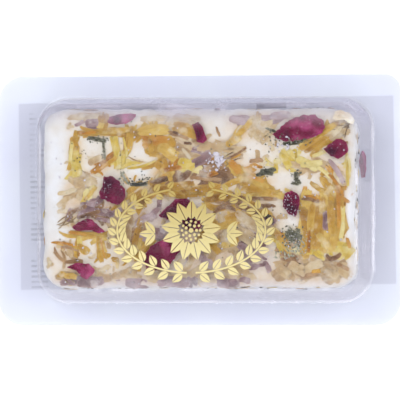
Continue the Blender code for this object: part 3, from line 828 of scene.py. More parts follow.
# node, tint, how crumpled, turn in degrees, seed of its folds, corners as pixels of the photograph
LARGE_PETALS = (
    ("rose_petal_01", 0.68, 0.3, 3, 1,
     ((108, 122), (110, 117), (118, 114.5), (130, 113.5), (137, 114.5), (134, 120), (126, 124), (114, 125))),
    ("rose_petal_02", 0.42, 0.5, -60, 2,
     ((192.5, 125), (199, 122.5), (203, 127), (206, 136), (208, 141), (203, 144), (197, 142), (196, 134))),
    ("rose_petal_03", 0.10, 1.0, -50, 3,
     ((103, 186), (104, 176.5), (110, 175), (117, 179), (122, 183), (126, 191), (125, 199),
      (119, 205), (111, 202), (101, 197), (99.5, 191))),
    ("rose_petal_04", 0.50, 0.7, -14, 4,
     ((73, 226), (80, 221), (86, 218), (93, 219), (97, 223), (106, 231), (100, 233), (92, 229.5),
      (82, 230), (75, 229.5))),
    ("rose_petal_05", 0.60, 0.4, -14, 5,
     ((67, 266), (78, 261.5), (90, 263), (96, 269), (93, 274), (87, 278.5), (81, 275),
      (77, 269.5), (72, 268))),
    ("rose_petal_06", 0.60, 0.5, 18, 6,
     ((272, 136), (281, 128), (289, 121), (301, 117), (312, 116), (321, 120), (326, 127),
      (322, 134), (312, 139), (300, 141), (290, 142.5), (281, 141))),
    ("rose_petal_07", 0.34, 0.5, 20, 7,
     ((323, 150), (331, 144), (338, 139.5), (345, 142), (348.5, 150), (344, 156), (338, 160),
      (330, 157))),
    ("rose_petal_08", 0.18, 1.0, 80, 8,
     ((283, 202), (285, 194), (291, 190.5), (297, 193), (300, 201), (298, 210), (295, 217), (289, 214),
      (284, 209))),
    ("rose_petal_09", 0.26, 0.8, 10, 9,
     ((183, 216), (191, 211.5), (201, 214), (204, 222), (199, 230), (190, 231), (183, 226))),
    ("rose_petal_10", 0.24, 1.0, 12, 10,
     ((159, 215), (168, 206), (176, 199), (186, 198), (194, 203), (197, 211), (190, 214), (178, 216),
      (168, 219))),
    ("rose_petal_11", 0.50, 0.7, 30, 11,
     ((143, 257), (152, 245), (162, 239), (176, 237), (183, 242), (178, 254), (168, 266), (154, 270),
      (146, 267))),
    ("cream_petal", 0.50, 0.5, -22, 12,
     ((332, 119), (335, 113), (340, 111.5), (345, 113.5), (349, 114), (352, 118), (354.5, 122.5),
      (353, 126), (348, 124.5), (344, 121.5), (340, 121.5), (336, 122))),
)
# node, tint, how crumpled, seed of its folds, length, width, corners as shares of these
SIDE_PETAL = (
    "rose_petal_12", 0.50, 0.3, 13, 10.5 * MM, 9.0 * MM,
    ((-0.5, 0.1), (-0.3, 0.42), (0.1, 0.5), (0.42, 0.34), (0.5, -0.05), (0.3, -0.42), (-0.2, -0.5)),
)
PETAL_THICKNESS = 0.30 * MM
PETAL_LIFT = 0.3 * MM
PETAL_GRID = (36, 24)
PETAL_CUP = 0.22 * MM
# How much of the cup's height is from side to side, the rest being from end to end.
CUP_ACROSS = 0.7
# Heights and lengths of the folds and wrinkles, and the height, closeness and sway of the fine ribs.
FOLDS = (0.26 * MM, 2.4 * MM)
WRINKLES = (0.45 * MM, 1.5 * MM)
WRINKLE_LEVEL = 0.25
RIBS = (0.03 * MM, 11, 4 * MM)
TEARS = ((0.05, 1.2 * MM), (0.03, 0.5 * MM))
BLOTS = (0.5, 3.0 * MM)
TIP_PALING = 0.16
# How much of its thickness a petal loses at its rim, and how suddenly.
RIM_THINNING, RIM_POWER = 0.8, 6
# How far inside a petal's ends its outline is first and last cut, as a share of its length.
END_MARGIN = 0.02
ROSE_TONES = (colour(60, 2, 32), colour(106, 8, 50), colour(166, 68, 112), colour(122, 30, 72))
CREAM_TONES = (colour(204, 184, 146), colour(226, 214, 186), colour(238, 234, 220), colour(222, 206, 176))


class Outline:
    """A large petal's outline, in a frame that lies along its length."""

    def __init__(self, corners, turn=0.0):
        self.turned = Matrix.Rotation(turn, 2)
        self.corners = [self.turned.transposed() @ corner for corner in corners]
        xs, ys = zip(*self.corners)
        self.low, self.high = Vector((min(xs), min(ys))), Vector((max(xs), max(ys)))

    def cut(self, share):
        """The outline's two edges at a share of its length."""
        x = self.low.x + (self.high.x - self.low.x) * (END_MARGIN + (1 - 2 * END_MARGIN) * share)
        cuts = []
        for first, second in zip(self.corners, self.corners[1:] + self.corners[:1]):
            if (first.x - x) * (second.x - x) < 0:
                cuts.append(first.lerp(second, (x - first.x) / (second.x - first.x)))
        return min(cuts, key=lambda cut: cut.y), max(cuts, key=lambda cut: cut.y)

    def is_near(self, x, y, reach):
        """True if a disc of that reach at (x, y) comes near the petal."""
        away = self.turned.transposed() @ Vector((x, y)) - (self.low + self.high) / 2
        half = (self.high - self.low) / 2
        return (abs(away.x) / (half.x + reach)) ** 3 + (abs(away.y) / (half.y + reach)) ** 3 < 1


OUTLINES = {
    node: Outline([seen_at(*corner) for corner in corners], math.radians(turn))
    for node, _, _, turn, _, corners in LARGE_PETALS
}


def petal_point(outline, share, across, crumple, play):
    """A point of a petal's middle surface. share runs from one end to the other, across from -1 to 1."""
    low, high = outline.cut(share)
    middle = (outline.low + outline.high) / 2
    flat = Vector((*(low.lerp(high, (across + 1) / 2) - middle), 0.0))
    torn = sum(depth * noise.noise(flat / length + play) for depth, length in TEARS)
    cup = PETAL_CUP * (across**2 * CUP_ACROSS + (2 * share - 1) ** 2 * (1 - CUP_ACROSS))
    folds = FOLDS[0] * noise.noise(flat / FOLDS[1] - play)
    wrinkles = WRINKLES[0] * (WRINKLE_LEVEL - abs(noise.noise(flat / WRINKLES[1] - play)))
    ribs = RIBS[0] * math.cos(across * RIBS[1] + 2 * noise.noise(flat / RIBS[2]))
    spot = outline.turned @ (middle + flat.xy * (1 + torn * (abs(across) + 1)))
    return Vector((*spot, cup + (folds + wrinkles) * crumple + ribs))


def petal_mesh(name, outline, tint, crumple, seed, material):
    """A large petal, with a tint that varies from point to point."""
    play = seed * Vector((3.7, 1.9, 0.0))
    tints = []

    def place(share, across, side):
        point = petal_point(outline, share, across, crumple, play)
        blot = BLOTS[0] * noise.noise(point / BLOTS[1] + play * 2)
        tints.append(tint + TIP_PALING * (2 * share - 1) + blot)
        taper = 1 - RIM_THINNING * max(abs(across), abs(2 * share - 1)) ** RIM_POWER
        return point + Vector((0, 0, side * PETAL_THICKNESS * taper))

    petal = mesh_object(name, thin_sheet(*PETAL_GRID, place), material)
    write_values(petal.data, "tint", "FLOAT", "value", tints)
    return sharpen(petal, RIM_ANGLE)


def thin_sheet(rows, columns, place):
    """A thin closed leaf. Its vertices are two grids: the lower side, then the upper side.

    place gives a vertex's place for its share of the length, its place across from -1 to 1,
    and its side, which is -0.5 or 0.5.
    """
    bm = bmesh.new()
    along, across = (bm.verts.layers.float.new(name) for name in ("along", "across"))
    sides = []
    for side in (-0.5, 0.5):
        grid = []
        for row in range(rows + 1):
            line = []
            for column in range(columns + 1):
                share, spot = row / rows, column / columns * 2 - 1
                vert = bm.verts.new(place(share, spot, side))
                vert[along], vert[across] = 2 * share - 1, spot
                line.append(vert)
            grid.append(line)
        sides.append(grid)
    close_sheet(bm, *sides)
    return bm


def close_sheet(bm, lower, upper):
    """Joins two grids of vertices into one closed sheet with its faces pointing out."""
    rows, columns = len(lower) - 1, len(lower[0]) - 1
    for row in range(rows):
        for column in range(columns):
            for grid, order in ((lower, 1), (upper, -1)):
                corners = (grid[row][column], grid[row][column + 1])
                corners += (grid[row + 1][column + 1], grid[row + 1][column])
                bm.faces.new(corners[::order])
    rim = [(row, 0) for row in range(rows)] + [(rows, column) for column in range(columns)]
    rim += [(row, columns) for row in range(rows, 0, -1)]
    rim += [(0, column) for column in range(columns, 0, -1)]
    for (r0, c0), (r1, c1) in zip(rim, rim[1:] + rim[:1]):
        bm.faces.new((lower[r0][c0], lower[r1][c1], upper[r1][c1], upper[r0][c0]))
    bmesh.ops.recalc_face_normals(bm, faces=bm.faces)


def make_large_petals(rose, cream):
    petals = []
    for node, tint, crumple, _, seed, _ in LARGE_PETALS:
        is_cream = node == "cream_petal"
        name = "petal_cream" if is_cream else f"petal_{node[-2:]}"
        petal = petal_mesh(name, OUTLINES[node], tint, crumple, seed, cream if is_cream else rose)
        petal.data.transform(Matrix.Translation((0, 0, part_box(node)[0].z + PETAL_LIFT)))
        petals.append(keep(petal, "cream_petal" if is_cream else "rose_petal", node))
    make_side_petal(rose)
    return petals


def make_side_petal(material):
    """The petal that stands between the cheese's right side and the dome's wall."""
    node, tint, crumple, seed, length, width, corners = SIDE_PETAL
    outline = Outline([Vector((x * length, y * width)) for x, y in corners])
    petal = petal_mesh(f"petal_{node[-2:]}", outline, tint, crumple, seed, material)
    low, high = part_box(node)
    upright = math.radians(90) - math.atan2(DOME_DRAFT, DOME_TOP - FLANGE_TOP)
    petal.data.transform(Matrix.Translation((low + high) / 2) @ Matrix.Rotation(upright, 4, "Y"))
    keep(petal, "rose_petal", node)


def near_large_petal(x, y, reach):
    return any(outline.is_near(x, y, reach) for outline in OUTLINES.values())


# Small petals

GOLD, ORANGE, YELLOW, TAN = "gold", "orange", "yellow", "tan"
BROWN, MAUVE, STEM, LEAF = "brown", "mauve", "stem", "leaf"
# kind, pixel of the patch's middle, half its size in pixels, how many petals,
# their length and width in mm, lie in degrees, spread in degrees
PATCHES = (
    (TAN, (88, 115), (22, 3), 8, 7, 2.2, 0, 12),
    (MAUVE, (92, 121), (8, 5), 5, 5, 3.0, 20, 40),
    (GOLD, (101, 119), (5, 5), 3, 6, 2.0, 80, 15),
    (GOLD, (101, 132), (10, 2), 7, 14, 1.9, 0, 4),
    (GOLD, (75, 148), (3, 10), 7, 10, 2.0, 86, 10),
    (YELLOW, (77, 166), (4, 10), 7, 8, 1.8, 80, 18),
    (YELLOW, (117, 150), (3, 5), 5, 10, 1.5, 103, 6),
    (GOLD, (127, 138), (3, 5), 5, 9, 2.0, 85, 8),
    (YELLOW, (123, 160), (3, 5), 3, 6, 1.6, 70, 20),
    (YELLOW, (137, 164), (6, 2), 3, 8, 1.1, 14, 8),
    (ORANGE, (104, 163), (4, 3), 4, 9, 1.3, 40, 8),
    (GOLD, (152, 132), (12, 4), 14, 8, 2.6, 5, 25),
    (ORANGE, (156, 143), (9, 3), 8, 7, 2.2, 20, 70),
    (TAN, (184, 128), (9, 6), 8, 8, 3.4, -18, 25),
    (GOLD, (168, 150), (9, 7), 12, 7, 2.8, 10, 90),
    (GOLD, (166, 172), (11, 9), 18, 8, 1.4, 42, 30),
    (ORANGE, (168, 168), (8, 5), 4, 7, 1.6, 50, 30),
    (TAN, (76, 189), (16, 11), 14, 6, 2.2, 20, 60),
    (YELLOW, (86, 192), (10, 8), 5, 6, 1.6, 70, 40),
    (GOLD, (88, 234), (14, 2), 8, 9, 1.8, 2, 8),
    (ORANGE, (62, 244), (6, 1), 3, 8, 0.9, -8, 6),
    (ORANGE, (75, 247), (2, 2), 2, 4, 1.2, 50, 20),
    (GOLD, (80, 246), (4, 4), 4, 6, 1.2, 85, 10),
    (GOLD, (100, 248), (3, 8), 5, 7, 1.2, 95, 12),
    (TAN, (62, 255), (9, 8), 6, 6, 1.2, 120, 50),
    (TAN, (88, 278), (26, 4), 14, 6, 2.4, 5, 35),
    (MAUVE, (84, 281), (28, 3), 10, 6, 2.4, 0, 20),
    (GOLD, (72, 272), (8, 3), 3, 6, 1.6, 0, 20),
    (GOLD, (240, 134), (4, 5), 6, 9.5, 1.8, 52, 8),
    (TAN, (220, 148), (14, 5), 10, 7, 2.2, -10, 40),
    (ORANGE, (222, 160), (12, 2), 4, 9, 1.2, 18, 12),
    (GOLD, (228, 167), (10, 5), 7, 7, 2.0, -50, 30),
    (ORANGE, (253, 181), (9, 5), 9, 8, 2.4, -32, 16),
    (GOLD, (256, 184), (12, 6), 10, 8, 2.2, -30, 20),
    (GOLD, (262, 195), (16, 3), 10, 10, 2.0, -2, 8),
    (GOLD, (317, 140), (9, 6), 9, 12, 1.9, 37, 6),
    (TAN, (336, 128), (10, 8), 8, 6, 2.2, 30, 40),
    (YELLOW, (287, 160), (5, 5), 5, 6, 2.2, -60, 30),
    (TAN, (312, 166), (14, 7), 8, 7, 2.0, -10, 40),
    (ORANGE, (338, 186), (5, 8), 9, 9, 1.6, -62, 12),
    (GOLD, (330, 182), (8, 8), 8, 8, 1.8, -45, 30),
    (ORANGE, (310, 199), (7, 3), 5, 6, 1.6, -12, 20),
    (GOLD, (313, 227), (11, 20), 14, 12, 3.2, 92, 14),
    (GOLD, (335, 222), (6, 18), 8, 11, 2.6, 85, 12),
    (LEAF, (293, 238), (6, 8), 20, 2.6, 1.4, 0, 90),
    (BROWN, (294, 250), (10, 5), 8, 4, 2.0, 0, 90),
    (YELLOW, (322, 247), (18, 4), 10, 8, 1.8, -25, 30),
    (YELLOW, (348, 249), (6, 6), 6, 6, 1.6, 40, 40),
    (TAN, (316, 272), (34, 9), 46, 5.5, 2.6, 5, 60),
    (TAN, (262, 128), (7, 12), 9, 5, 2.4, 80, 40),
    (MAUVE, (238, 121), (9, 4), 5, 6, 2.0, 5, 15),
    (MAUVE, (278, 117), (10, 4), 5, 6, 2.2, 10, 20),
    (GOLD, (186, 190), (34, 5), 22, 9, 2.2, 0, 22),
    (GOLD, (136, 196), (10, 8), 8, 8, 2.0, 40, 30),
    (TAN, (125, 224), (14, 16), 16, 8, 2.4, 60, 40),
    (GOLD, (118, 206), (10, 6), 6, 8, 1.8, 35, 30),
    (TAN, (190, 278), (70, 5), 26, 6, 2.8, 0, 40),
    (MAUVE, (200, 283), (90, 3), 24, 6, 2.8, 0, 20),
    (TAN, (245, 222), (22, 12), 18, 8, 2.4, -30, 40),
    (GOLD, (238, 212), (26, 8), 12, 8, 2.0, -20, 30),
    (MAUVE, (250, 248), (18, 14), 7, 7, 2.6, -40, 40),
    (TAN, (215, 250), (30, 18), 16, 8, 2.8, 20, 60),
    (YELLOW, (281, 243), (6, 9), 8, 8, 1.8, -55, 10),
    (TAN, (338, 172), (8, 10), 9, 5, 1.8, -60, 30),
    (YELLOW, (347, 172), (2, 12), 7, 5, 1.2, 88, 12),
    (TAN, (67, 200), (5, 8), 4, 5, 1.6, 60, 50),
    (TAN, (250, 128), (18, 10), 8, 5, 1.8, 40, 50),
    (MAUVE, (202, 160), (11, 9), 10, 6, 2.4, 35, 35),
    (BROWN, (202, 166), (14, 8), 8, 6, 1.8, 30, 50),
    (YELLOW, (187, 165), (6, 5), 6, 5, 2.4, 30, 60),
    (BROWN, (207, 176), (18, 4), 12, 7, 2.0, 10, 40),
    (BROWN, (168, 178), (14, 4), 6, 8, 1.2, 35, 30),
    (BROWN, (96, 212), (18, 7), 10, 5, 1.8, 30, 50),
    (BROWN, (184, 134), (10, 6), 4, 6, 2.0, -30, 50),
    (BROWN, (240, 205), (24, 7), 8, 8, 1.8, -10, 30),
    (BROWN, (136, 236), (10, 18), 8, 7, 1.8, 60, 40),
    (BROWN, (310, 262), (26, 8), 8, 6, 1.6, 10, 40),
    (GOLD, (140, 250), (12, 14), 8, 8, 2.0, 60, 40),
    (GOLD, (214, 236), (24, 16), 10, 8, 2.2, 10, 60),
    (TAN, (196, 150), (16, 6), 7, 7, 2.2, 20, 40),
    (MAUVE, (94, 206), (18, 7), 14, 5, 2.0, 35, 40),
    (MAUVE, (326, 220), (1, 1), 2, 5.5, 1.6, 88, 3),
    (MAUVE, (180, 244), (36, 16), 8, 7, 2.6, 10, 60),
    (MAUVE, (160, 214), (22, 8), 4, 7, 2.0, 20, 40),
    (STEM, (66, 220), (4, 3), 4, 6, 0.4, 40, 12),
    (STEM, (341, 128), (4, 4), 4, 6, 0.4, -35, 60),
    (STEM, (228, 160), (8, 2), 3, 7, 0.45, 22, 10),
    (STEM, (70, 272), (8, 6), 3, 5, 0.4, -60, 20),
)
# The petals that show one by one: kind, pixels of both ends, width in pixels,
# how far the middle bows to the left of the line in pixels, tint
STRIPS = (
    (TAN, (66, 117), (86, 116), 6, 0, 0.75),
    (MAUVE, (85, 123), (99, 122), 8, 0, 0.55),
    (GOLD, (98, 119), (110, 117), 8, 0, 0.25),
    (TAN, (172, 117), (203, 115), 7, 0, 0.80),
    (TAN, (140, 119), (168, 118), 6, 0, 0.80),
    (GOLD, (132, 126), (128.5, 152), 5, 1, 0.60),
    (GOLD, (78, 133), (132, 129.5), 5, 0.5, 0.45),
    (ORANGE, (78, 132.5), (97, 132), 3.5, 0, 0.55),
    (YELLOW, (116, 136), (120.5, 168), 5, -1, 0.60),
    (YELLOW, (123, 137), (127, 157), 2.5, 1, 0.70),
    (GOLD, (73, 136), (76, 154), 8, 0, 0.50),
    (YELLOW, (76, 150), (77, 176), 7, 0, 0.50),
    (YELLOW, (72, 141), (70, 161), 4, 0, 0.80),
    (TAN, (88, 163), (102, 156), 7, 0, 0.50),
    (GOLD, (104, 166), (118, 156), 4, 0, 0.60),
    (ORANGE, (94, 173), (108, 163), 3.5, 0.5, 0.45),
    (TAN, (128, 156), (146, 162), 1.3, -1.5, 0.30),
    (YELLOW, (127, 168), (156, 160), 2.6, -2, 0.30),
    (TAN, (74, 184), (97, 180), 9, 0, 0.60),
    (TAN, (57, 193), (77, 189), 5, 0, 0.85),
    (GOLD, (84, 200), (96, 186), 4, 0, 0.80),
    (ORANGE, (147, 143), (169, 139), 8, 0, 0.50),
    (GOLD, (150, 138), (152, 152), 5, 0, 0.35),
    (GOLD, (137, 132), (169, 130), 11, 1, 0.85),
    (GOLD, (155, 163), (174, 175), 8, 0, 0.60),
    (GOLD, (159, 145), (178, 158), 12, 0, 0.80),
    (GOLD, (164, 158), (172, 182), 5, 0, 0.50),
    (GOLD, (173, 126), (198, 135), 12, 1, 0.40),
    (TAN, (197, 149), (231, 146), 7, 1, 0.45),
    (MAUVE, (190, 166), (210, 156), 9, 0, 0.40),
    (ORANGE, (164, 170), (182, 167), 5, 0, 0.20),
    (YELLOW, (179, 160), (195, 168), 9, 0, 0.45),
    (TAN, (182, 148), (191, 159), 3.5, 0, 0.95),
    (BROWN, (173, 132), (179, 134), 3, 0, 0.15),
    (BROWN, (184, 143), (192, 144), 3, 0, 0.15),
    (GOLD, (226, 146), (241, 137), 7, 0, 0.80),
    (GOLD, (229, 143), (252, 120), 6, -1, 0.70),
    (BROWN, (223, 160), (246, 148), 2.5, -1.5, 0.40),
    (BROWN, (190, 177), (222, 180), 4, 0, 0.90),
    (ORANGE, (207, 176), (218, 172), 5, 0, 0.20),
    (ORANGE, (230, 161), (240, 173), 7, 0, 0.60),
    (GOLD, (222, 187), (244, 178), 6, 0, 0.70),
    (GOLD, (243, 175), (268, 190), 8, 1, 0.55),
    (ORANGE, (247, 176), (264, 182), 4, 0, 0.60),
    (BROWN, (249, 162), (263, 161), 4.5, 1, 0.85),
    (MAUVE, (229, 119), (246, 123), 7, 0, 0.95),
    (MAUVE, (269, 117), (290, 116), 8, 0, 0.98),
    (BROWN, (216, 127), (220, 137), 2.5, 0, 0.85),
    (YELLOW, (296, 159), (318, 170), 8, 0.5, 0.90),
    (YELLOW, (280, 154), (290, 168), 7, 0, 0.50),
    (YELLOW, (312, 157), (326, 152), 4, 0, 0.80),
    (YELLOW, (300, 166), (322, 163), 6, 0, 0.95),
    (YELLOW, (316, 167), (330, 179), 4, 1, 0.95),
    (MAUVE, (328, 160), (343, 184), 5, 1, 0.95),
    (YELLOW, (346, 160), (347, 187), 3, 0, 0.35),
    (BROWN, (320, 132), (338, 124), 5, 0, 0.70),
    (GOLD, (304, 153), (327, 138), 5, 0, 0.35),
    (GOLD, (300, 150), (335, 125), 7, 0.5, 0.55),
    (TAN, (341, 128), (332, 137), 5, 0, 0.85),
    (STEM, (336, 119), (350, 124), 1.3, 0.5, 0.30),
    (STEM, (350, 123), (344, 139), 1.2, -1, 0.30),
    (GOLD, (313, 184), (327, 200), 4, 1, 0.75),
    (GOLD, (320, 177), (334, 197), 5, 2, 0.60),
    (ORANGE, (333, 180), (340, 202), 3.5, 2, 0.25),
    (ORANGE, (328, 175), (342, 197), 3.5, 2.5, 0.40),
    (BROWN, (301, 199), (319, 203), 5, 2, 0.40),
    (ORANGE, (303, 197), (317, 200), 2.5, 2, 0.35),
    (YELLOW, (342, 206), (340, 239), 6, 0, 0.85),
    (GOLD, (308, 226), (302, 255), 8, 0, 0.40),
    (GOLD, (302, 207), (310, 241), 12, 1, 0.22),
    (GOLD, (320, 204), (313, 250), 12, 1, 0.38),
    (GOLD, (313, 203), (310, 232), 7, -1, 0.60),
    (GOLD, (323, 197), (321, 213), 6, 0, 0.55),
    (MAUVE, (325, 212), (325, 230), 6, 0, 0.30),
    (GOLD, (338, 218), (330, 250), 8, 0.5, 0.60),
    (GOLD, (330, 201), (333, 236), 8, -1, 0.40),
    (ORANGE, (337, 195), (338, 229), 4, 0.7, 0.60),
    (ORANGE, (309, 230), (308, 252), 3.5, 0, 0.15),
    (GOLD, (317, 233), (331, 251), 7, 0, 0.85),
    (YELLOW, (312, 251), (324, 259), 4, 0, 0.40),
    (YELLOW, (336, 248), (354, 251), 7, 0, 0.85),
    (YELLOW, (344, 259), (353, 248), 5, 0, 0.60),
    (ORANGE, (346, 237), (349, 248), 3.5, 0, 0.70),
    (BROWN, (325, 254), (332, 260), 3.5, 0, 0.20),
    (BROWN, (300, 277), (318, 270), 6, 0, 0.95),
    (TAN, (277, 266), (290, 276), 10, 0, 0.50),
    (TAN, (322, 264), (338, 276), 11, 0, 0.40),
    (TAN, (289, 263), (306, 273), 10, 0, 0.65),
    (TAN, (336, 268), (350, 276), 9, 0, 0.55),
    (TAN, (303, 271), (322, 262), 9, 1, 0.70),
    (BROWN, (336, 263), (348, 269), 4, 0, 0.75),
    (ORANGE, (311, 271), (320, 270), 4, 0, 0.90),
    (GOLD, (273, 228), (291, 254), 6, 0, 0.60),
    (ORANGE, (280, 231), (291, 249), 3, 0, 0.80),
    (MAUVE, (264, 215), (275, 223), 7, 0, 0.02),
    (BROWN, (246, 198), (277, 199), 4, 0, 0.50),
    (GOLD, (243, 187), (277, 195), 7, 0.5, 0.50),
    (GOLD, (204, 200), (233, 195), 8, 0, 0.15),
    (GOLD, (186, 190), (221, 185), 7, -1, 0.35),
    (GOLD, (151, 192), (187, 184), 6, 1, 0.20),
    (GOLD, (127, 192), (143, 181), 6, 0, 0.60),
    (GOLD, (118, 206), (134, 196), 6, 0, 0.45),
    (TAN, (116, 214), (120, 250), 9, 0, 0.45),
    (TAN, (130, 212), (125, 250), 9, 0, 0.35),
    (GOLD, (141, 218), (132, 254), 6, 0, 0.30),
    (TAN, (232, 228), (258, 246), 9, 0, 0.60),
    (TAN, (236, 212), (264, 232), 9, 0, 0.70),
    (MAUVE, (238, 244), (262, 258), 8, 0, 0.75),
    (GOLD, (70, 231), (107, 234), 5, -1, 0.50),
    (ORANGE, (69, 231), (87, 234), 3, 0, 0.70),
    (YELLOW, (79, 235), (80, 246), 5, 0, 0.70),
    (GOLD, (77, 244), (90, 251), 6, 0, 0.50),
    (GOLD, (98, 234), (102, 261), 5, -0.5, 0.50),
    (ORANGE, (101, 237), (105, 257), 2, -0.5, 0.60),
    (ORANGE, (51, 241.5), (78, 246), 2.5, 1.5, 0.50),
    (BROWN, (54, 246), (67, 261), 3.5, -3, 0.75),
    (BROWN, (65, 261), (83, 260), 4, 0, 0.70),
    (BROWN, (61, 246), (78, 250), 2.5, 1, 0.85),
    (GOLD, (59, 272), (77, 276), 6, 0, 0.70),
    (MAUVE, (96, 217), (115, 222), 4, 0, 0.45),
    (MAUVE, (84, 207), (115, 214), 7, 0, 0.20),
    (BROWN, (67, 213), (87, 205), 4, 0, 0.35),
    (BROWN, (78, 217), (101, 210), 4, 0, 0.15),
    (STEM, (57, 222), (70, 214), 1.2, 1, 0.60),
    (STEM, (58, 228), (67, 217), 1.2, -1, 0.60),
    (LEAF, (256, 176), (275, 169), 5, 0, 0.35),
    (LEAF, (260, 171), (273, 174), 5, 0, 0.25),
    (LEAF, (295, 172), (297, 186), 4, 0, 0.50),
    (LEAF, (291, 184), (301, 183), 3, 0, 0.60),
    (LEAF, (88, 137), (106, 141), 4, 0, 0.40),
    (LEAF, (103, 141), (105, 159), 2.5, 0, 0.60),
    (LEAF, (120, 171), (129, 184), 2.5, 0, 0.80),
    (LEAF, (130, 184), (148, 184), 4, 0, 0.15),
    (LEAF, (282, 145), (300, 143), 4, 0, 0.30),
    (LEAF, (299, 142), (310, 137), 3, 0, 0.50),
    (LEAF, (265, 129), (276, 133), 2.5, 0.5, 0.30),
)
# Small torn pieces fill what is left, but for these bare places: pixel of the middle, half size
# in pixels, share of the stain that is missing there
BARE_PLACES = (
    ((56, 160), (13, 50), 0.97),
    ((97, 148), (15, 10), 0.25),
    ((139, 149), (11, 12), 0.35),
    ((140, 170), (13, 6), 0.80),
    ((221, 126), (16, 12), 0.40),
    ((252, 147), (12, 9), 0.35),
    ((299, 183), (18, 9), 0.30),
    ((293, 222), (9, 7), 0.60),
    ((349, 216), (5, 25), 0.92),
    ((347, 263), (8, 4), 0.60),
    ((58, 262), (7, 9), 0.20),
    ((60, 232), (12, 8), 0.60),
    ((53, 208), (9, 42), 0.92),
    ((284, 128), (6, 10), 0.50),
    ((336, 163), (8, 4), 0.50),
    ((90, 244), (8, 4), 0.50),
)
# How much of each patch's count is laid, the tints of patches, and the sizes of their petals as
# shares of the patch's own. A petal that finds no free place is tried again, and then shorter.
PATCH_SHARE = 0.6
PATCH_TINTS = (0.25, 0.85)
PATCH_LENGTHS = (0.75, 1.2)
PATCH_WIDTHS = (0.7, 1.2)
PATCH_TRIES = (1.0, 1.0, 0.85, 0.7, 0.55)
# How often torn pieces are tried all over the top, which lies between these pixels, and what they
# are like.
BITS = 560
TOP_LEFT, TOP_RIGHT, TOP_BACK, TOP_FRONT = 48, 352, 110, 287
BIT_TINTS = (0.3, 1.0)
BIT_LENGTHS = (1.6 * MM, 4.6 * MM)
BIT_SLIMNESS = (0.25, 0.5)
# The chance that a bare place stays bare, and that a piece is of the nearest patch's kind.
STAYS_BARE = 0.98
SAME_KIND = 0.8
# How much petals differ in bow, in S-bend, in twist and in tint.
BOW_PLAY, BEND_PLAY, TWIST_PLAY, TINT_PLAY = 0.10, 0.06, 0.3, 0.12
# Shares of half a petal's length at which its place is tested.
TESTED_AT = (-1, -0.5, 0, 0.5, 1)
# How far a small petal's middle line stays inside the block, and may reach under a large petal.
PETAL_MARGIN = 1.2 * MM
BIT_OVERLAP = 1.0 * MM
PATCH_OVERLAP = 0.6 * MM
# Patches of herbs, crystals and crumbs: pixel of the patch's middle, half its size in pixels,
# how many, size in mm, tint
HERBS = (
    ((97, 139), (9, 3), 46, 0.55, 0.60),
    ((104, 151), (2, 9), 26, 0.5, 0.60),
    ((124, 177), (4, 6), 20, 0.6, 0.75),
    ((139, 181), (9, 3), 26, 0.6, 0.25),
    ((146, 176), (3, 5), 10, 0.5, 0.30),
    ((264, 172), (8, 4), 22, 0.7, 0.35),
    ((296, 178), (4, 6), 30, 0.6, 0.50),
    ((295, 142), (12, 3), 26, 0.6, 0.55),
    ((273, 140), (8, 9), 34, 0.5, 0.45),
    ((292, 236), (8, 9), 110, 0.55, 0.55),
    ((297, 246), (10, 7), 80, 0.55, 0.90),
    ((285, 254), (10, 4), 40, 0.6, 0.95),
    ((269, 219), (5, 4), 10, 0.7, 0.20),
    ((78, 158), (6, 14), 16, 0.45, 0.40),
    ((200, 200), (145, 80), 170, 0.38, 0.45),
)
CRYSTALS = (
    ((107, 186), (6, 9), 24, 0.26, 0.5),
    ((90, 213), (16, 9), 50, 0.28, 0.5),
    ((292, 202), (8, 13), 54, 0.34, 0.5),
    ((195, 222), (12, 8), 44, 0.30, 0.5),
    ((215, 163), (9, 8), 10, 0.4, 0.5),
    ((295, 128), (20, 8), 12, 0.26, 0.5),
    ((336, 150), (9, 8), 12, 0.26, 0.5),
    ((297, 238), (9, 9), 34, 0.32, 0.5),
    ((200, 200), (148, 82), 120, 0.26, 0.5),
)
CRUMBS = (
    ((219, 160), (5, 6), 18, 1.6, 0.5),
    ((216, 161), (7, 7), 24, 0.8, 0.5),
    ((283, 146), (8, 6), 8, 0.8, 0.5),
    ((200, 200), (148, 82), 190, 0.6, 0.5),
)
# The sides of the block: how often a piece is tried, its length, width and distance from others.
SIDE_BITS = 150
SIDE_KINDS = (TAN, TAN, GOLD, GOLD, YELLOW, ORANGE, MAUVE)
SIDE_LENGTHS = (2.0 * MM, 5.5 * MM)
SIDE_WIDTHS = (1.0 * MM, 2.2 * MM)
SIDE_SPACING = 4.2 * MM
SIDE_BOW_PLAY = 0.08
# How far pieces and herbs stand out, how far they stay from the bottom and from both ends of the
# height together, and how they crowd towards the top.
SIDE_BIT_LIFT, SIDE_HERB_LIFT = 0.10 * MM, 0.05 * MM
SIDE_BOTTOM, SIDE_ENDS = 2 * MM, 4.5 * MM
SIDE_CROWDING = 0.7
SIDE_HERBS = 120
SIDE_HERB_SIZES = (0.4 * MM, 1.3 * MM)
SIDE_HERB_SHAPE = (1, 0.6, 0.35)
SIDE_HERB_TINTS = (0.1, 0.7)
# Lumps: distance from the block's sides, sizes and widths as shares, tilt and difference in tint.
LUMP_MARGIN = 1.5 * MM
LUMP_SIZES = (0.5, 1.5)
LUMP_WIDTHS = (0.4, 0.9)
LUMP_TILT = 0.35
LUMP_TINT_PLAY = 0.2
SEED = 7

# Shapes of small petals, of unit size: width at base and tip, raggedness, channel's depth, seed
PETAL_SHAPES = (
    (0.85, 1.00, 0.10, 0.4, 1),
    (0.90, 0.90, 0.18, -0.4, 2),
    (0.70, 1.00, 0.12, 0.6, 3),
    (0.95, 0.75, 0.35, 0.3, 4),
    (0.80, 1.00, 0.45, -0.4, 5),
    (0.65, 0.90, 0.25, 0.2, 6),
)
SHAPE_ROWS, SHAPE_COLUMNS = 8, 4
SHAPE_FINE = (7, 5)
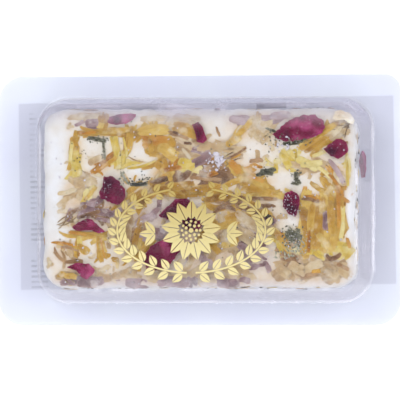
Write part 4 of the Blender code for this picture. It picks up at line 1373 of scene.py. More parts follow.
# Where along it the base has widened, where the tip starts to narrow and where its notches start.
BASE_END, TIP_START, NOTCH_START = 0.4, 0.7, 0.75
NOTCH_DEPTH = 0.035
CHANNEL_LEVEL = 0.4
# How much of its width it loses at its very ends, and how suddenly.
END_NARROWING, END_POWER = 0.30, 12
# How much lower each line along a petal lies, and each end: a groove, and edges that melt in
LINE_DROPS = np.array((0.8, 0.0, 0.5, 0.1, 0.8)) * TOPPING_THICKNESS
END_DROP = 0.8 * TOPPING_THICKNESS
PETAL_RIPPLE = 0.06 * MM
RIPPLE_SCALE = 420.0
# segments, rings, unevenness, flatness
LUMP_SHAPES = {"flake": (6, 4, 0.6, 0.35), "crumb": (6, 4, 0.5, 0.45), "crystal": (5, 3, 0.3, 0.8)}
LUMP_SEEDS = (1, 5)
# dark, middle and light
SMALL_PETAL_TONES = {
    GOLD: ((128, 84, 24), (180, 135, 46), (214, 178, 98)),
    ORANGE: ((128, 74, 20), (180, 122, 36), (208, 158, 72)),
    YELLOW: ((160, 126, 40), (202, 168, 70), (222, 202, 142)),
    TAN: ((142, 108, 70), (188, 158, 116), (214, 194, 160)),
    BROWN: ((84, 54, 36), (132, 96, 60), (176, 140, 100)),
    MAUVE: ((82, 52, 54), (136, 105, 104), (184, 162, 160)),
    STEM: ((78, 58, 36), (118, 92, 58), (150, 122, 82)),
    LEAF: ((30, 30, 18), (64, 62, 42), (114, 114, 90)),
}
# Stains on the cheese: all over it, less at its rim, and from each patch and each petal.
GROUND_STAIN = 0.85
STAIN_RIM = 4.5 * MM
RIM_STAIN = 0.4
STAIN_DEPTH = 5.0 * MM
LEAST_STAIN = 0.15
PATCH_STAIN = 1.5
PETAL_STAIN = 0.30
# A petal's stain reaches this share of its width, or at least so far.
PETAL_STAIN_REACH, LEAST_STAIN_REACH = 0.7, 1 * MM
GROUND_COLOUR = colour(206, 189, 158)
STAIN_COLOURS = {
    GOLD: colour(200, 162, 92),
    ORANGE: colour(194, 140, 68),
    YELLOW: colour(210, 186, 112),
    TAN: colour(198, 170, 136),
    BROWN: colour(164, 128, 94),
    MAUVE: colour(170, 144, 140),
    STEM: colour(190, 168, 134),
    LEAF: colour(150, 146, 118),
}


def weights(count, times):
    """A table that turns count values into count * times values, spread evenly between them."""
    spots = np.clip((np.arange(count * times) + 0.5) / times - 0.5, 0, count - 1)
    below = np.minimum(spots.astype(int), count - 2)
    table = np.zeros((count * times, count))
    rows = np.arange(count * times)
    table[rows, below] = 1 - (spots - below)
    table[rows, below + 1] = spots - below
    return table


def spread(grid, times):
    """A finer grid of the same values."""
    rows, columns = (weights(count, more) for count, more in zip(grid.shape, times))
    return np.einsum("ai,bj,ij...->ab...", rows, columns, grid)


def side_distance(x, y):
    """How far a place on the block is from its nearest side."""
    beyond_x = abs(x - DOME_CENTRE.x) - CHEESE_LENGTH / 2 + CHEESE_CORNER
    beyond_y = abs(y - DOME_CENTRE.y) - CHEESE_WIDTH / 2 + CHEESE_CORNER
    outside = math.hypot(max(beyond_x, 0), max(beyond_y, 0))
    return CHEESE_CORNER - outside - min(max(beyond_x, beyond_y), 0)


class Pile:
    """How high the toppings lie over the cheese, on a fine grid, and how high they may lie."""

    CELL = 0.25 * MM
    ROUNDED_EDGE = CHEESE_EDGE + 0.5 * MM
    # How often a petal is smoothed where it lies over others, and how far it may dip each time.
    SMOOTHINGS = 3
    DIP = 0.05 * MM
    # How much of their thickness petals add to the pile.
    THICKENING = 0.8
    # Where a lump's middle is over the pile, and how far it stays under the dome, in its own size.
    LUMP_REST, LUMP_ROOM = 0.3, 0.5

    def __init__(self):
        half = Vector((CHEESE_LENGTH, CHEESE_WIDTH)) / 2
        self.corner = DOME_CENTRE - half
        shape = (int(CHEESE_WIDTH / self.CELL) + 2, int(CHEESE_LENGTH / self.CELL) + 2)
        self.top = np.zeros(shape)
        for row, column in np.ndindex(shape):
            x, y = self.corner + Vector((column, row)) * self.CELL
            inward = min(max(self.ROUNDED_EDGE - side_distance(x, y), 0), CHEESE_EDGE)
            drop = CHEESE_EDGE - math.sqrt(CHEESE_EDGE**2 - inward**2)
            self.top[row, column] = cheese_height(x, y) - drop
        self.roof = np.full(shape, CEILING)

    def cells(self, places):
        columns = ((places[..., 0] - self.corner.x) / self.CELL).round().astype(int)
        rows = ((places[..., 1] - self.corner.y) / self.CELL).round().astype(int)
        return rows.clip(0, self.top.shape[0] - 1), columns.clip(0, self.top.shape[1] - 1)

    @staticmethod
    def level(height):
        """Presses a pile flatter the higher it gets, so that it stays under the dome."""
        room = CEILING - TOPPING_THICKNESS - CHEESE_TOP
        above = np.maximum(height - CHEESE_TOP, 0)
        return np.minimum(height, CHEESE_TOP) + room * (1 - np.exp(-above / room))

    @staticmethod
    def raw(level):
        """The height that level turns into the given one."""
        room = CEILING - TOPPING_THICKNESS - CHEESE_TOP
        above = np.clip((level - CHEESE_TOP) / room, 0, 0.95)
        return np.minimum(level, CHEESE_TOP) - room * np.log(1 - above)

    def lay(self, places):
        """Lays a small petal, given by a grid of places, over what is there. Gives its heights."""
        rows, columns = self.cells(spread(places, SHAPE_FINE))
        blocks = (places.shape[0], SHAPE_FINE[0], places.shape[1], SHAPE_FINE[1])
        height = self.top[rows, columns].reshape(blocks).max(axis=(1, 3))
        for _ in range(self.SMOOTHINGS):
            soft = height.copy()
            soft[1:-1] = (height[:-2] + 2 * height[1:-1] + height[2:]) / 4
            soft[:, 1:-1] += (height[:, :-2] - 2 * height[:, 1:-1] + height[:, 2:]) / 4
            height = np.maximum(soft, height - self.DIP)
        thick = spread(height, SHAPE_FINE) + TOPPING_THICKNESS * self.THICKENING
        np.maximum.at(self.top, (rows, columns), thick)
        roof = self.roof[self.cells(places)] - TOPPING_THICKNESS
        return np.minimum(self.level(height), roof)

    def hold(self, petal):
        """Makes room for a large petal, which stays where it is, and for what lies on it."""
        sides = points_of(petal.data).reshape(2, PETAL_GRID[0] + 1, PETAL_GRID[1] + 1, 3)
        lower, upper = (spread(side, (2, 2)) for side in sides)
        np.minimum.at(self.roof, self.cells(lower), lower[..., 2])
        return self.cells(upper), upper[..., 2]

    def cover(self, held):
        """From here on, what is laid goes over the large petals."""
        self.roof[:] = CEILING
        for cells, height in held:
            np.maximum.at(self.top, cells, self.raw(height))

    def drop(self, x, y, size):
        """Drops a lump on the pile. Gives its height."""
        cell = tuple(part[0] for part in self.cells(np.array([[x, y]])))
        height = self.top[cell]
        self.top[cell] = height + size / 2
        rest = float(self.level(height)) + size * self.LUMP_REST
        return min(rest, CEILING - size * self.LUMP_ROOM)


class Stains:
    """Colour that the toppings leave on the cheese, on a grid over its top."""

    CELL = 0.5 * MM
    COLUMNS, ROWS = 240, 150

    def __init__(self):
        self.weight = np.full((self.ROWS, self.COLUMNS), GROUND_STAIN)
        self.colour = self.weight[..., None] * np.array(GROUND_COLOUR)

    def add(self, x, y, reach, tone, strength):
        """Adds a soft stain. reach is one number, or one along X and one along Y."""
        share = strength * self.blot(x, y, *(reach if isinstance(reach, tuple) else (reach, reach)))
        self.weight += share
        self.colour += share[..., None] * np.array(tone)

    def blot(self, x, y, reach_x, reach_y):
        """1 at a place, and less round it."""
        column, row = x / self.CELL + self.COLUMNS / 2, y / self.CELL + self.ROWS / 2
        rows, columns = np.mgrid[0 : self.ROWS, 0 : self.COLUMNS]
        across = (columns - column) * self.CELL / reach_x
        along = (rows - row) * self.CELL / reach_y
        return np.exp(-(across**2) - along**2)

    def clear(self):
        """Leaves the block's rim and the bare places whiter."""
        kept = np.ones_like(self.weight)
        for row, column in np.ndindex(kept.shape):
            x, y = (column - self.COLUMNS / 2) * self.CELL, (row - self.ROWS / 2) * self.CELL
            inward = smooth_step(side_distance(x, y) / STAIN_RIM)
            kept[row, column] = RIM_STAIN + (1 - RIM_STAIN) * inward
        for middle, half, share in BARE_PLACES:
            kept *= 1 - share * self.blot(*seen_at(*middle), *(part * PIXEL for part in half))
        self.weight *= kept
        self.colour *= kept[..., None]

    def paint(self, mesh):
        """Writes the stains to the mesh's points."""
        places = points_of(mesh)
        columns = (places[:, 0] / self.CELL + self.COLUMNS / 2).round().astype(int)
        rows = (places[:, 1] / self.CELL + self.ROWS / 2).round().astype(int)
        weight = self.weight[rows, columns]
        tone = self.colour[rows, columns] / np.maximum(weight, 1e-6)[:, None]
        amount = 1 - np.exp(-weight)
        amount *= np.clip((places[:, 2] - CHEESE_TOP + STAIN_DEPTH) / STAIN_DEPTH, LEAST_STAIN, 1)
        values = np.concatenate([tone, amount[:, None]], axis=1)
        write_values(mesh, "stain", "FLOAT_COLOR", "color", values.ravel())


class Scatter:
    """Copies of small shapes on many places, with values that size, turn, bend and tint each."""

    def __init__(self, name, shapes):
        self.name = name
        self.shapes = shapes
        self.rows = []

    def add(self, place, turn, size, shape, bend=(0.0, 0.0, 0.0), tint=0.5):
        self.rows.append((place, turn, size, bend, tint, shape))
        return self, len(self.rows) - 1

    def build(self, material):
        """Sets a shape on every place, as one plain mesh, and keeps its points for each copy."""
        mesh = bpy.data.meshes.new(self.name)
        mesh.from_pydata([row[0] for row in self.rows], [], [])
        for index, name in ((1, "turn"), (2, "size"), (3, "bend")):
            parts = [part for row in self.rows for part in row[index]]
            write_values(mesh, name, "FLOAT_VECTOR", "vector", parts)
        write_values(mesh, "tint", "FLOAT", "value", [row[4] for row in self.rows])
        write_values(mesh, "shape", "INT", "value", [row[5] for row in self.rows])
        self.piece = add_object(self.name, mesh)
        modifier = self.piece.modifiers.new("copies", "NODES")
        modifier.node_group = COPY_TREE
        values = {"Shapes": self.shapes, "Ripple": PETAL_RIPPLE, "Grain": RIPPLE_SCALE, "Finish": material}
        for name, value in values.items():
            modifier[COPY_INPUTS[name]] = value
        settle(self.piece)
        self.points = points_of(self.piece.data).reshape(len(self.rows), -1, 3)

    def write(self):
        self.piece.data.vertices.foreach_set("co", self.points.ravel())
        self.piece.data.update()
        return self.piece


# Named inputs of the tree that sets the copies
COPY_SOCKETS = {
    "Points": "NodeSocketGeometry",
    "Shapes": "NodeSocketCollection",
    "Ripple": "NodeSocketFloat",
    "Grain": "NodeSocketFloat",
    "Finish": "NodeSocketMaterial",
}


def copy_tree():
    """Geometry Nodes: a shape on every point, sized, turned, bent and tinted by the point's values."""
    group = bpy.data.node_groups.new("copies_on_points", "GeometryNodeTree")
    inputs = {}
    for name, kind in COPY_SOCKETS.items():
        inputs[name] = group.interface.new_socket(name, in_out="INPUT", socket_type=kind).identifier
    group.interface.new_socket("Copies", in_out="OUTPUT", socket_type="NodeSocketGeometry")
    tree = Tree(group)

    def own(name, kind):
        made = group.nodes.new("GeometryNodeInputNamedAttribute")
        made.data_type = kind
        made.inputs["Name"].default_value = name
        return Socket(tree, next(o for o in made.outputs if o.enabled and o.name == "Attribute"))

    given = group.nodes.new("NodeGroupInput")
    points, shapes, ripple, grain, finish = (Socket(tree, given.outputs[name]) for name in COPY_SOCKETS)
    turn, size, bend = (own(name, "FLOAT_VECTOR") for name in ("turn", "size", "bend"))
    sources = tree.node(
        "GeometryNodeCollectionInfo",
        {"transform_space": "ORIGINAL"},
        {"Collection": shapes, "Separate Children": True, "Reset Children": True},
    )
    places = {
        "Points": points,
        "Instance": sources,
        "Pick Instance": True,
        "Instance Index": own("shape", "INT"),
        "Rotation": tree.node("FunctionNodeEulerToRotation", {}, {0: turn}),
        "Scale": size,
    }
    copies = tree.node("GeometryNodeInstanceOnPoints", {}, places)
    real = tree.node("GeometryNodeRealizeInstances", {}, {"Geometry": copies})

    along, across = own("along", "FLOAT"), own("across", "FLOAT")
    sideways = bend.part(0) * along * along + bend.part(1) * along * along * along
    bent = tree.vector(0.0, sideways, bend.part(2) * along * across)
    sockets = {"Vector": bent, "Rotation": turn}
    turned = tree.node("ShaderNodeVectorRotate", {"rotation_type": "EULER_XYZ"}, sockets)
    waves = tree.node("ShaderNodeTexNoise", {}, {"Scale": grain, "Detail": 1.0}, 1)
    waves = tree.node("ShaderNodeVectorMath", {"operation": "SUBTRACT"}, {0: waves, 1: (0.5, 0.5, 0.5)})
    waves = tree.node("ShaderNodeVectorMath", {"operation": "SCALE"}, {0: waves, "Scale": ripple})
    offset = tree.node("ShaderNodeVectorMath", {"operation": "ADD"}, {0: turned, 1: waves})
    moved = tree.node("GeometryNodeSetPosition", {}, {"Geometry": real, "Offset": offset})
    painted = tree.node("GeometryNodeSetMaterial", {}, {"Geometry": moved, "Material": finish})
    tree.node("NodeGroupOutput", {}, {0: painted})
    return group, inputs


COPY_TREE, COPY_INPUTS = copy_tree()


def petal_shape(name, base, tip, ragged, channel, seed):
    """A small petal of unit size, narrow at its base, channelled, with an uneven tip."""

    def place(share, across, side):
        span = base + (1 - base) * smooth_step(share / BASE_END)
        span -= (1 - tip) * smooth_step((share - TIP_START) / (1 - TIP_START))
        span *= 1 - END_NARROWING * abs(2 * share - 1) ** END_POWER
        span *= 1 + ragged * noise.noise(Vector((share * 5, across * 2, seed * 3.3)))
        notch = NOTCH_DEPTH * smooth_step((share - NOTCH_START) / (1 - NOTCH_START))
        reach = share - 0.5 + notch * math.cos(math.tau * across)
        return reach, across * span / 2, channel * (across**2 - CHANNEL_LEVEL) + side

    return mesh_object(name, thin_sheet(SHAPE_ROWS, SHAPE_COLUMNS, place))


def lump_shape(name, segments, rings, unevenness, seed):
    """A small closed lump of unit size, for flakes and crumbs."""
    bm = bmesh.new()
    bmesh.ops.create_uvsphere(bm, u_segments=segments, v_segments=rings, radius=0.5)
    for vert in bm.verts:
        vert.co *= 1 + unevenness * noise.noise(vert.co * 4 + Vector((seed, 0, 0)))
    return mesh_object(name, bm, smooth=False)


def shape_collection(name, shapes):
    """Keeps source shapes apart from the scene."""
    collection = bpy.data.collections.new(name)
    for shape in shapes:
        bpy.context.scene.collection.objects.unlink(shape)
        collection.objects.link(shape)
    return collection


def draw_patch(draw, middle, half):
    """A pixel near the middle of a patch, thinning out towards its edge."""
    px = middle[0] + half[0] * (draw.uniform(-1, 1) + draw.uniform(-0.5, 0.5))
    py = middle[1] + half[1] * (draw.uniform(-1, 1) + draw.uniform(-0.5, 0.5))
    return px, py


def is_bare(px, py):
    for (x, y), (half_x, half_y), _ in BARE_PLACES:
        if ((px - x) / half_x) ** 2 + ((py - y) / half_y) ** 2 < 1:
            return True
    return False


def nearest_kind(px, py):
    """The kind of the patch that a pixel is nearest to, for the size of each."""

    def away(row):
        (x, y), (half_x, half_y) = row[1:3]
        return ((px - x) / (half_x + 4)) ** 2 + ((py - y) / (half_y + 4)) ** 2

    return min(PATCHES, key=away)[0]


class SmallPetals:
    """All small petals, in the order in which they are laid."""

    def __init__(self, draw, stains, shapes):
        self.draw = draw
        self.stains = stains
        self.kinds = {kind: Scatter(f"{kind}_petals", shapes) for kind in STAIN_COLOURS}
        self.laid = []
        self.tone = 0.5

    def add(self, kind, middle, angle, size, bend, tint):
        """Adds a petal to those that are laid, and its stain to the cheese."""
        turn = (0.0, 0.0, angle)
        shape = self.draw.randrange(len(PETAL_SHAPES))
        scatter = self.kinds[kind]
        self.laid.append(scatter.add((*middle, 0.0), turn, (*size, TOPPING_THICKNESS), shape, bend, tint))
        half = heading(angle) * size[0] / 2
        reach = max(size[1] * PETAL_STAIN_REACH, LEAST_STAIN_REACH)
        for share in (-0.5, 0.0, 0.5):
            self.stains.add(*(middle + half * share), reach, STAIN_COLOURS[kind], PETAL_STAIN)

    def lay(self, kind, px, py, length, width, angle, overlap):
        """Lays one petal if its place is free of large petals and on the block."""
        draw = self.draw
        middle = seen_at(px, py)
        half = heading(angle) * length / 2
        spots = [middle + half * share for share in TESTED_AT]
        if any(near_large_petal(*spot, -overlap) for spot in spots):
            return False
        if any(side_distance(*spot) < PETAL_MARGIN for spot in spots):
            return False
        curve = draw.gauss(0, BOW_PLAY) * length, draw.gauss(0, BEND_PLAY) * length
        bend = (*curve, draw.gauss(0, TWIST_PLAY) * TOPPING_THICKNESS)
        tint = min(max(self.tone + draw.gauss(0, TINT_PLAY), 0.0), 1.0)
        self.add(kind, middle, angle + draw.choice((0.0, math.pi)), (length, width), bend, tint)
        return True

    def strips(self):
        """The petals that show one by one."""
        for kind, start, end, width, bow, tint in STRIPS:
            start, end = seen_at(*start), seen_at(*end)
            run = end - start
            bow *= PIXEL
            middle = (start + end) / 2 + Vector((-run.y, run.x)).normalized() * bow
            size = (run.length, width * PIXEL)
            self.add(kind, middle, math.atan2(run.y, run.x), size, (-bow, 0.0, 0.0), tint)

    def fill(self):
        """Small torn pieces nearly everywhere."""
        draw = self.draw
        for _ in range(BITS):
            px, py = draw.uniform(TOP_LEFT, TOP_RIGHT), draw.uniform(TOP_BACK, TOP_FRONT)
            if is_bare(px, py) and draw.random() < STAYS_BARE:
                continue
            kind = nearest_kind(px, py) if draw.random() < SAME_KIND else TAN
            self.tone = draw.uniform(*BIT_TINTS)
            length = draw.uniform(*BIT_LENGTHS)
            width = length * draw.uniform(*BIT_SLIMNESS)
            self.lay(kind, px, py, length, width, draw.uniform(0, math.pi), BIT_OVERLAP)

    def cover(self):
        """The petals of every patch."""
        draw = self.draw
        for kind, middle, half, count, length, width, lie, spread_angle in PATCHES:
            reach = tuple((part + 1) * PIXEL for part in half)
            self.stains.add(*seen_at(*middle), reach, STAIN_COLOURS[kind], PATCH_STAIN)
            self.tone = draw.uniform(*PATCH_TINTS)
            for _ in range(round(count * PATCH_SHARE)):
                for share in PATCH_TRIES:
                    size = [share * draw.uniform(*PATCH_LENGTHS) * length * MM]
                    size.append(draw.uniform(*PATCH_WIDTHS) * width * MM)
                    angle = math.radians(lie + draw.uniform(-spread_angle, spread_angle))
                    spot = draw_patch(draw, middle, half)
                    if not is_bare(*spot) and self.lay(kind, *spot, *size, angle, PATCH_OVERLAP):
                        break

    def dress_sides(self):
        """Pieces pressed into the sides of the block."""
        draw = self.draw
        taken = []
        for _ in range(SIDE_BITS):
            place, turn = side_place(draw, SIDE_BIT_LIFT)
            length = draw.uniform(*SIDE_LENGTHS)
            if any(math.dist(place, other) < SIDE_SPACING for other in taken):
                continue
            taken.append(place)
            size = (length, draw.uniform(*SIDE_WIDTHS), TOPPING_THICKNESS)
            kind = draw.choice(SIDE_KINDS)
            bend = (draw.gauss(0, SIDE_BOW_PLAY) * length, 0.0, 0.0)
            shape = draw.randrange(len(PETAL_SHAPES))
            self.kinds[kind].add(place, turn, size, shape, bend, draw.random())

    def build(self):
        for kind, scatter in self.kinds.items():
            tones = [colour(*tone) for tone in SMALL_PETAL_TONES[kind]]
            scatter.build(petal_finish(f"{kind}_petal", *tones, STAIN_COLOURS[kind]))

    def settle(self, pile):
        """Rests each petal of the top on what was laid before it."""
        grid = (2, SHAPE_ROWS + 1, SHAPE_COLUMNS + 1, 3)
        for scatter, index in self.laid:
            sides = scatter.points[index].reshape(grid)
            heights = pile.lay(sides.mean(axis=0)[..., :2])
            sides[..., 2] += heights + TOPPING_THICKNESS / 2 - LINE_DROPS
            sides[:, (0, -1), :, 2] -= END_DROP


def side_place(draw, outward):
    """A place on a side of the block, and the turn that lays a shape flat on it."""
    length, width = CHEESE_LENGTH - 2 * CHEESE_CORNER, CHEESE_WIDTH - 2 * CHEESE_CORNER
    side = draw.choices(((0, -1), (0, 1), (-1, 0), (1, 0)), (length, length, width, width))[0]
    away = Vector((*side, 0.0))
    level = Vector((-away.y, away.x, 0.0))
    run = length if side[1] else width
    reach = CHEESE_WIDTH / 2 if side[1] else CHEESE_LENGTH / 2
    height = CHEESE_TOP - CHEESE_BOTTOM - SIDE_ENDS
    z = CHEESE_BOTTOM + SIDE_BOTTOM + height * draw.random() ** SIDE_CROWDING
    place = Vector((*DOME_CENTRE, z)) + away * reach + level * draw.uniform(-0.5, 0.5) * run
    place = cheese_shape(place) + away * outward
    spin = draw.uniform(0, math.tau)
    first = level * math.cos(spin) + Vector((0, 0, 1)) * math.sin(spin)
    turn = Matrix((first, away.cross(first), away)).transposed().to_euler("XYZ")
    return tuple(place), tuple(turn)


def scatter_lumps(draw, pile, scatter, rows, flatness):
    """Flakes or crumbs, each on top of what is already there."""
    for middle, half, count, full_size, tint in rows:
        for _ in range(count):
            x, y = seen_at(*draw_patch(draw, middle, half))
            if side_distance(x, y) < LUMP_MARGIN:
                continue
            size = full_size * MM * draw.uniform(*LUMP_SIZES)
            turn = (draw.gauss(0, LUMP_TILT), draw.gauss(0, LUMP_TILT), draw.uniform(0, math.tau))
            parts = (size, size * draw.uniform(*LUMP_WIDTHS), size * flatness)
            place = (x, y, pile.drop(x, y, size * flatness))
            shape = draw.randrange(len(LUMP_SEEDS))
            shade = tint + draw.uniform(-LUMP_TINT_PLAY, LUMP_TINT_PLAY)
            scatter.add(place, turn, parts, shape, tint=shade)


# The gold design on the dome: a wreath of leaves round a blossom, with a sprig on either side

FOIL_MIDDLE = Vector((0.2 * MM, -10.3 * MM))
FOIL_THICKNESS = 0.02 * MM
FOIL_GAP = 0.01 * MM
WREATH = Vector((23.6 * MM, 13.4 * MM))
WREATH_LEAVES = 15
WREATH_OPENING = math.radians(16)
STEM_START, STEM_STEPS = 0.06, 40
STEM_WIDTH = 0.55 * MM
# Turns of the first leaves, of the last ones before the stem's end, and from a stem to its leaves.
FIRST_LEAVES, LAST_LEAVES, LEAF_LEAN = 0.12, 0.03, 0.75
WREATH_LEAF = (4.032 * MM, 2.3 * MM)
LEAF_STEPS = 9
# How much smaller the last leaves are, and the turn over which a leaf's direction is measured.
LEAF_SHRINKING = 0.35
TURN_AHEAD = 0.05
VEIN = 0.22 * MM
BLOSSOM_PETALS = 13
BLOSSOM_TURN = 0.1
BLOSSOM_REACH = (3.6 * MM, 9.6 * MM)
BLOSSOM_WIDTH = 3.3 * MM
# reach from the blossom's middle, how many dots, their radius
BLOSSOM_DOTS = ((0, 1, 0.75 * MM), (1.75 * MM, 7, 0.5 * MM), (2.9 * MM, 12, 0.42 * MM))
DOT_STEPS = 16
SPRIG_AT = (11.6 * MM, -1.0 * MM)
SPRIG_LEAF = (5.0 * MM, 2.2 * MM)
SPRIG_TURNS = (-0.9, 0.0, 0.9)


class Foil:
    """Thin closed shapes that lie on the dome's top."""

    def __init__(self):
        self.bm = bmesh.new()

    def pair(self, point):
        """The lower and upper vertex at a place."""
        x, y = FOIL_MIDDLE + point
        height = DOME_TOP + crown_height(x, y) + FOIL_GAP
        return [self.bm.verts.new((x, y, height + rise)) for rise in (0.0, FOIL_THICKNESS)]

    def shape(self, outline):
        """A flat shape with a convex outline."""
        pairs = [self.pair(point) for point in outline]
        self.bm.faces.new([lower for lower, _ in pairs])
        self.bm.faces.new([upper for _, upper in pairs])
        for (a0, a1), (b0, b1) in zip(pairs, pairs[1:] + pairs[:1]):
            self.bm.faces.new((a0, b0, b1, a1))

    def ribbon(self, points, width):
        """A band of that width along a line of points."""
        rows = []
        for index, point in enumerate(points):
            before, after = points[max(index - 1, 0)], points[min(index + 1, len(points) - 1)]
            side = (after - before).orthogonal().normalized() * width / 2
            rows.append([*self.pair(point - side), *self.pair(point + side)[::-1]])
        for first, second in zip(rows, rows[1:]):
            for index in range(4):
                following = (index + 1) % 4
                self.bm.faces.new((first[index], first[following], second[following], second[index]))
        self.bm.faces.new(rows[0])
        self.bm.faces.new(rows[-1])

    def leaf(self, base, angle, length, width):
        """A leaf in two halves. Its vein is the slit between them."""
        turned = Matrix.Rotation(angle, 2)
        for side in (-1, 1):
            outline = [Vector((0.0, side * VEIN / 2)), Vector((length, side * VEIN / 2))]
            for step in range(LEAF_STEPS - 1, 0, -1):
                share = step / LEAF_STEPS
                reach = math.sin(math.pi * share**0.8) * width / 2 + VEIN / 2
                outline.append(Vector((share * length, side * reach)))
            self.shape([base + turned @ point for point in outline])

    def dot(self, middle, radius):
        turns = [math.tau * step / DOT_STEPS for step in range(DOT_STEPS)]
        self.shape([middle + radius * heading(turn) for turn in turns])


def wreath_point(turn):
    """A point of the wreath's oval. The turn is measured from its lowest point."""
    return Vector((WREATH.x * math.sin(turn), -WREATH.y * math.cos(turn)))


def add_wreath(foil, hand):
    """One half of the wreath: its stem, with pairs of leaves that grow smaller towards its end."""
    end = math.pi - WREATH_OPENING
    foil.ribbon([wreath_point(hand * turn) for turn in spaced(STEM_START, end, STEM_STEPS)], STEM_WIDTH)
    for index, turn in enumerate(spaced(FIRST_LEAVES, end - LAST_LEAVES, WREATH_LEAVES)):
        base, ahead = wreath_point(hand * turn), wreath_point(hand * (turn + TURN_AHEAD))
        run = math.atan2(*(ahead - base).yx)
        size = 1 - LEAF_SHRINKING * index / WREATH_LEAVES
        for side in (-1, 1):
            out = base + (ahead - base).orthogonal().normalized() * side * STEM_WIDTH
            foil.leaf(out, run + side * LEAF_LEAN, *(size * part for part in WREATH_LEAF))


def add_blossom(foil):
    inner, outer = BLOSSOM_REACH
    for index in range(BLOSSOM_PETALS):
        angle = math.tau * index / BLOSSOM_PETALS + BLOSSOM_TURN
        foil.leaf(heading(angle) * inner, angle, outer - inner, BLOSSOM_WIDTH)
    for reach, count, radius in BLOSSOM_DOTS:
        for index in range(count):
            foil.dot(reach * heading(math.tau * index / count), radius)


def add_sprig(foil, hand):
    for turn in SPRIG_TURNS:
        direction = turn if hand > 0 else math.pi - turn
        foil.leaf(Vector((hand * SPRIG_AT[0], SPRIG_AT[1])), direction, *SPRIG_LEAF)


def make_foil(material):
    foil = Foil()
    for hand in (-1, 1):
        add_wreath(foil, hand)
        add_sprig(foil, hand)
    add_blossom(foil)
    bmesh.ops.recalc_face_normals(foil.bm, faces=foil.bm.faces)
    keep(mesh_object("gold_design", foil.bm, material, smooth=False), "gold_foil")


# The camera, floor and lights

AIM = Vector((0.5 * MM, 0.0, FLANGE_TOP))
CAMERA_DISTANCE = 1.2
TILT_RIGHT = math.radians(7)
TILT_FRONT = math.radians(2)
SENSOR = 36.0
VIEW_WIDTH = 128.5 * MM
CLIP_START, CLIP_END = 0.05, 20
FLOOR_HALF = 1.5
FLOOR_GAP = 0.02 * MM
FLOOR_TONE = (0.93, 0.93, 0.93)
FLOOR_ROUGHNESS = 0.9
SKY_TONE = (0.95, 0.97, 1.0, 1.0)
SKY_STRENGTH = 0.87
# name, place, size, watts
LIGHTS = (
    ("key", (-0.55, 0.45, 0.95), (0.7, 0.7), 4.1),
    ("fill", (0.65, 0.3, 0.9), (0.6, 0.6), 2.2),
    ("right_strip", (0.75, 0.0, 0.42), (0.08, 0.9), 1.4),
    ("front_strip", (0.0, -0.75, 0.42), (0.9, 0.08), 3.2),
)


def make_camera():
    data = bpy.data.cameras.new("camera")
    data.sensor_width = SENSOR
    data.lens = SENSOR * CAMERA_DISTANCE / VIEW_WIDTH
    data.clip_start = CLIP_START
    data.clip_end = CLIP_END
    camera = add_object("camera", data)
    towards = Vector((math.tan(TILT_RIGHT), -math.tan(TILT_FRONT), 1.0)).normalized()
    right = Vector((0, 1, 0)).cross(towards).normalized()
    turned = Matrix((right, towards.cross(right), towards)).transposed().to_4x4()
    camera.matrix_world = Matrix.Translation(AIM + towards * CAMERA_DISTANCE) @ turned
    bpy.context.scene.camera = camera


def make_floor():
    finish = Finish("floor_paper")
    finish.done(finish.principled(FLOOR_TONE, FLOOR_ROUGHNESS, Specular_IOR_Level=0.1))
    bm = bmesh.new()
    bmesh.ops.create_grid(bm, x_segments=2, y_segments=2, size=FLOOR_HALF)
    floor = mesh_object("floor", bm, finish.material)
    floor.data.transform(Matrix.Translation((0, 0, -FLOOR_GAP)))


def make_lights():
    world = bpy.data.worlds.new("studio")
    world.use_nodes = True
    background = world.node_tree.nodes["Background"]
    background.inputs["Color"].default_value = SKY_TONE
    background.inputs["Strength"].default_value = SKY_STRENGTH
    bpy.context.scene.world = world
    for name, place, size, watts in LIGHTS:
        data = bpy.data.lights.new(name, "AREA")
        data.shape = "RECTANGLE"
        data.size, data.size_y = size
        data.energy = watts
        light = add_object(name, data)
        light.location = place
        light.rotation_euler = (AIM - Vector(place)).to_track_quat("-Z", "Y").to_euler()


# The whole object


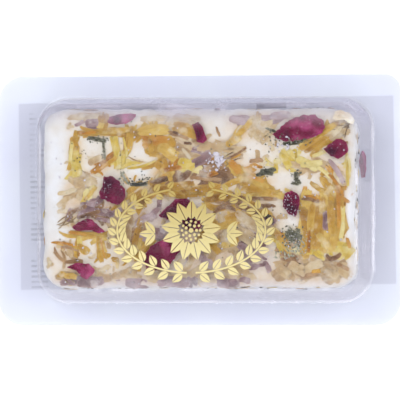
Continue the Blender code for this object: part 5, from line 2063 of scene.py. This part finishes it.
def make_small_petals(draw, stains):
    """Gives every small petal its place and shape, and the cheese its stains."""
    shapes = [petal_shape(f"petal_shape_{index}", *row) for index, row in enumerate(PETAL_SHAPES)]
    petals = SmallPetals(draw, stains, shape_collection("petal_shapes", shapes))
    petals.fill()
    petals.cover()
    petals.strips()
    stains.clear()
    petals.dress_sides()
    petals.build()
    return petals


def make_lumps(draw, pile):
    """Loose crumbs, herb flakes and crystals on the top, and flakes on the sides."""
    lumps = {}
    for name, (*shape, _) in LUMP_SHAPES.items():
        pair = [lump_shape(f"{name}_shape_{seed}", *shape, seed) for seed in LUMP_SEEDS]
        lumps[name] = Scatter(f"{name}s", shape_collection(f"{name}_shapes", pair))
    for name, rows in (("crumb", CRUMBS), ("flake", HERBS), ("crystal", CRYSTALS)):
        scatter_lumps(draw, pile, lumps[name], rows, LUMP_SHAPES[name][3])
    for _ in range(SIDE_HERBS):
        place, turn = side_place(draw, SIDE_HERB_LIFT)
        size = draw.uniform(*SIDE_HERB_SIZES)
        parts = tuple(size * part for part in SIDE_HERB_SHAPE)
        shape = draw.randrange(len(LUMP_SEEDS))
        lumps["flake"].add(place, turn, parts, shape, tint=draw.uniform(*SIDE_HERB_TINTS))
    herb, white = herb_finish(), crumb_finish()
    for name, material, slot in (
        ("flake", herb, "herb_flake"),
        ("crumb", white, "goat_cheese"),
        ("crystal", white, "goat_cheese"),
    ):
        lumps[name].build(material)
        keep(lumps[name].piece, slot, "cheese")


def make_toppings():
    draw = random.Random(SEED)
    pile, stains = Pile(), Stains()
    petals = make_small_petals(draw, stains)
    rose = petal_finish("rose_petal", *ROSE_TONES, milky=0.05, streaks=9.0, gloss=0.15)
    large = make_large_petals(rose, petal_finish("cream_petal", *CREAM_TONES))
    held = [pile.hold(petal) for petal in large]
    petals.settle(pile)
    pile.cover(held)
    for scatter in petals.kinds.values():
        keep(sharpen(scatter.write(), RIM_ANGLE), "marigold_strip", "cheese")
    make_lumps(draw, pile)
    make_cheese(goat_cheese(), stains)


def main():
    bpy.context.scene.view_settings.view_transform = "Standard"
    make_camera()
    make_floor()
    make_lights()
    make_dome(clear_plastic())
    make_film(lilac_film())
    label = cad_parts["back_label"]
    label.data.materials.clear()
    label.data.materials.append(label_paper())
    make_foil(gold_foil())
    make_toppings()


main()
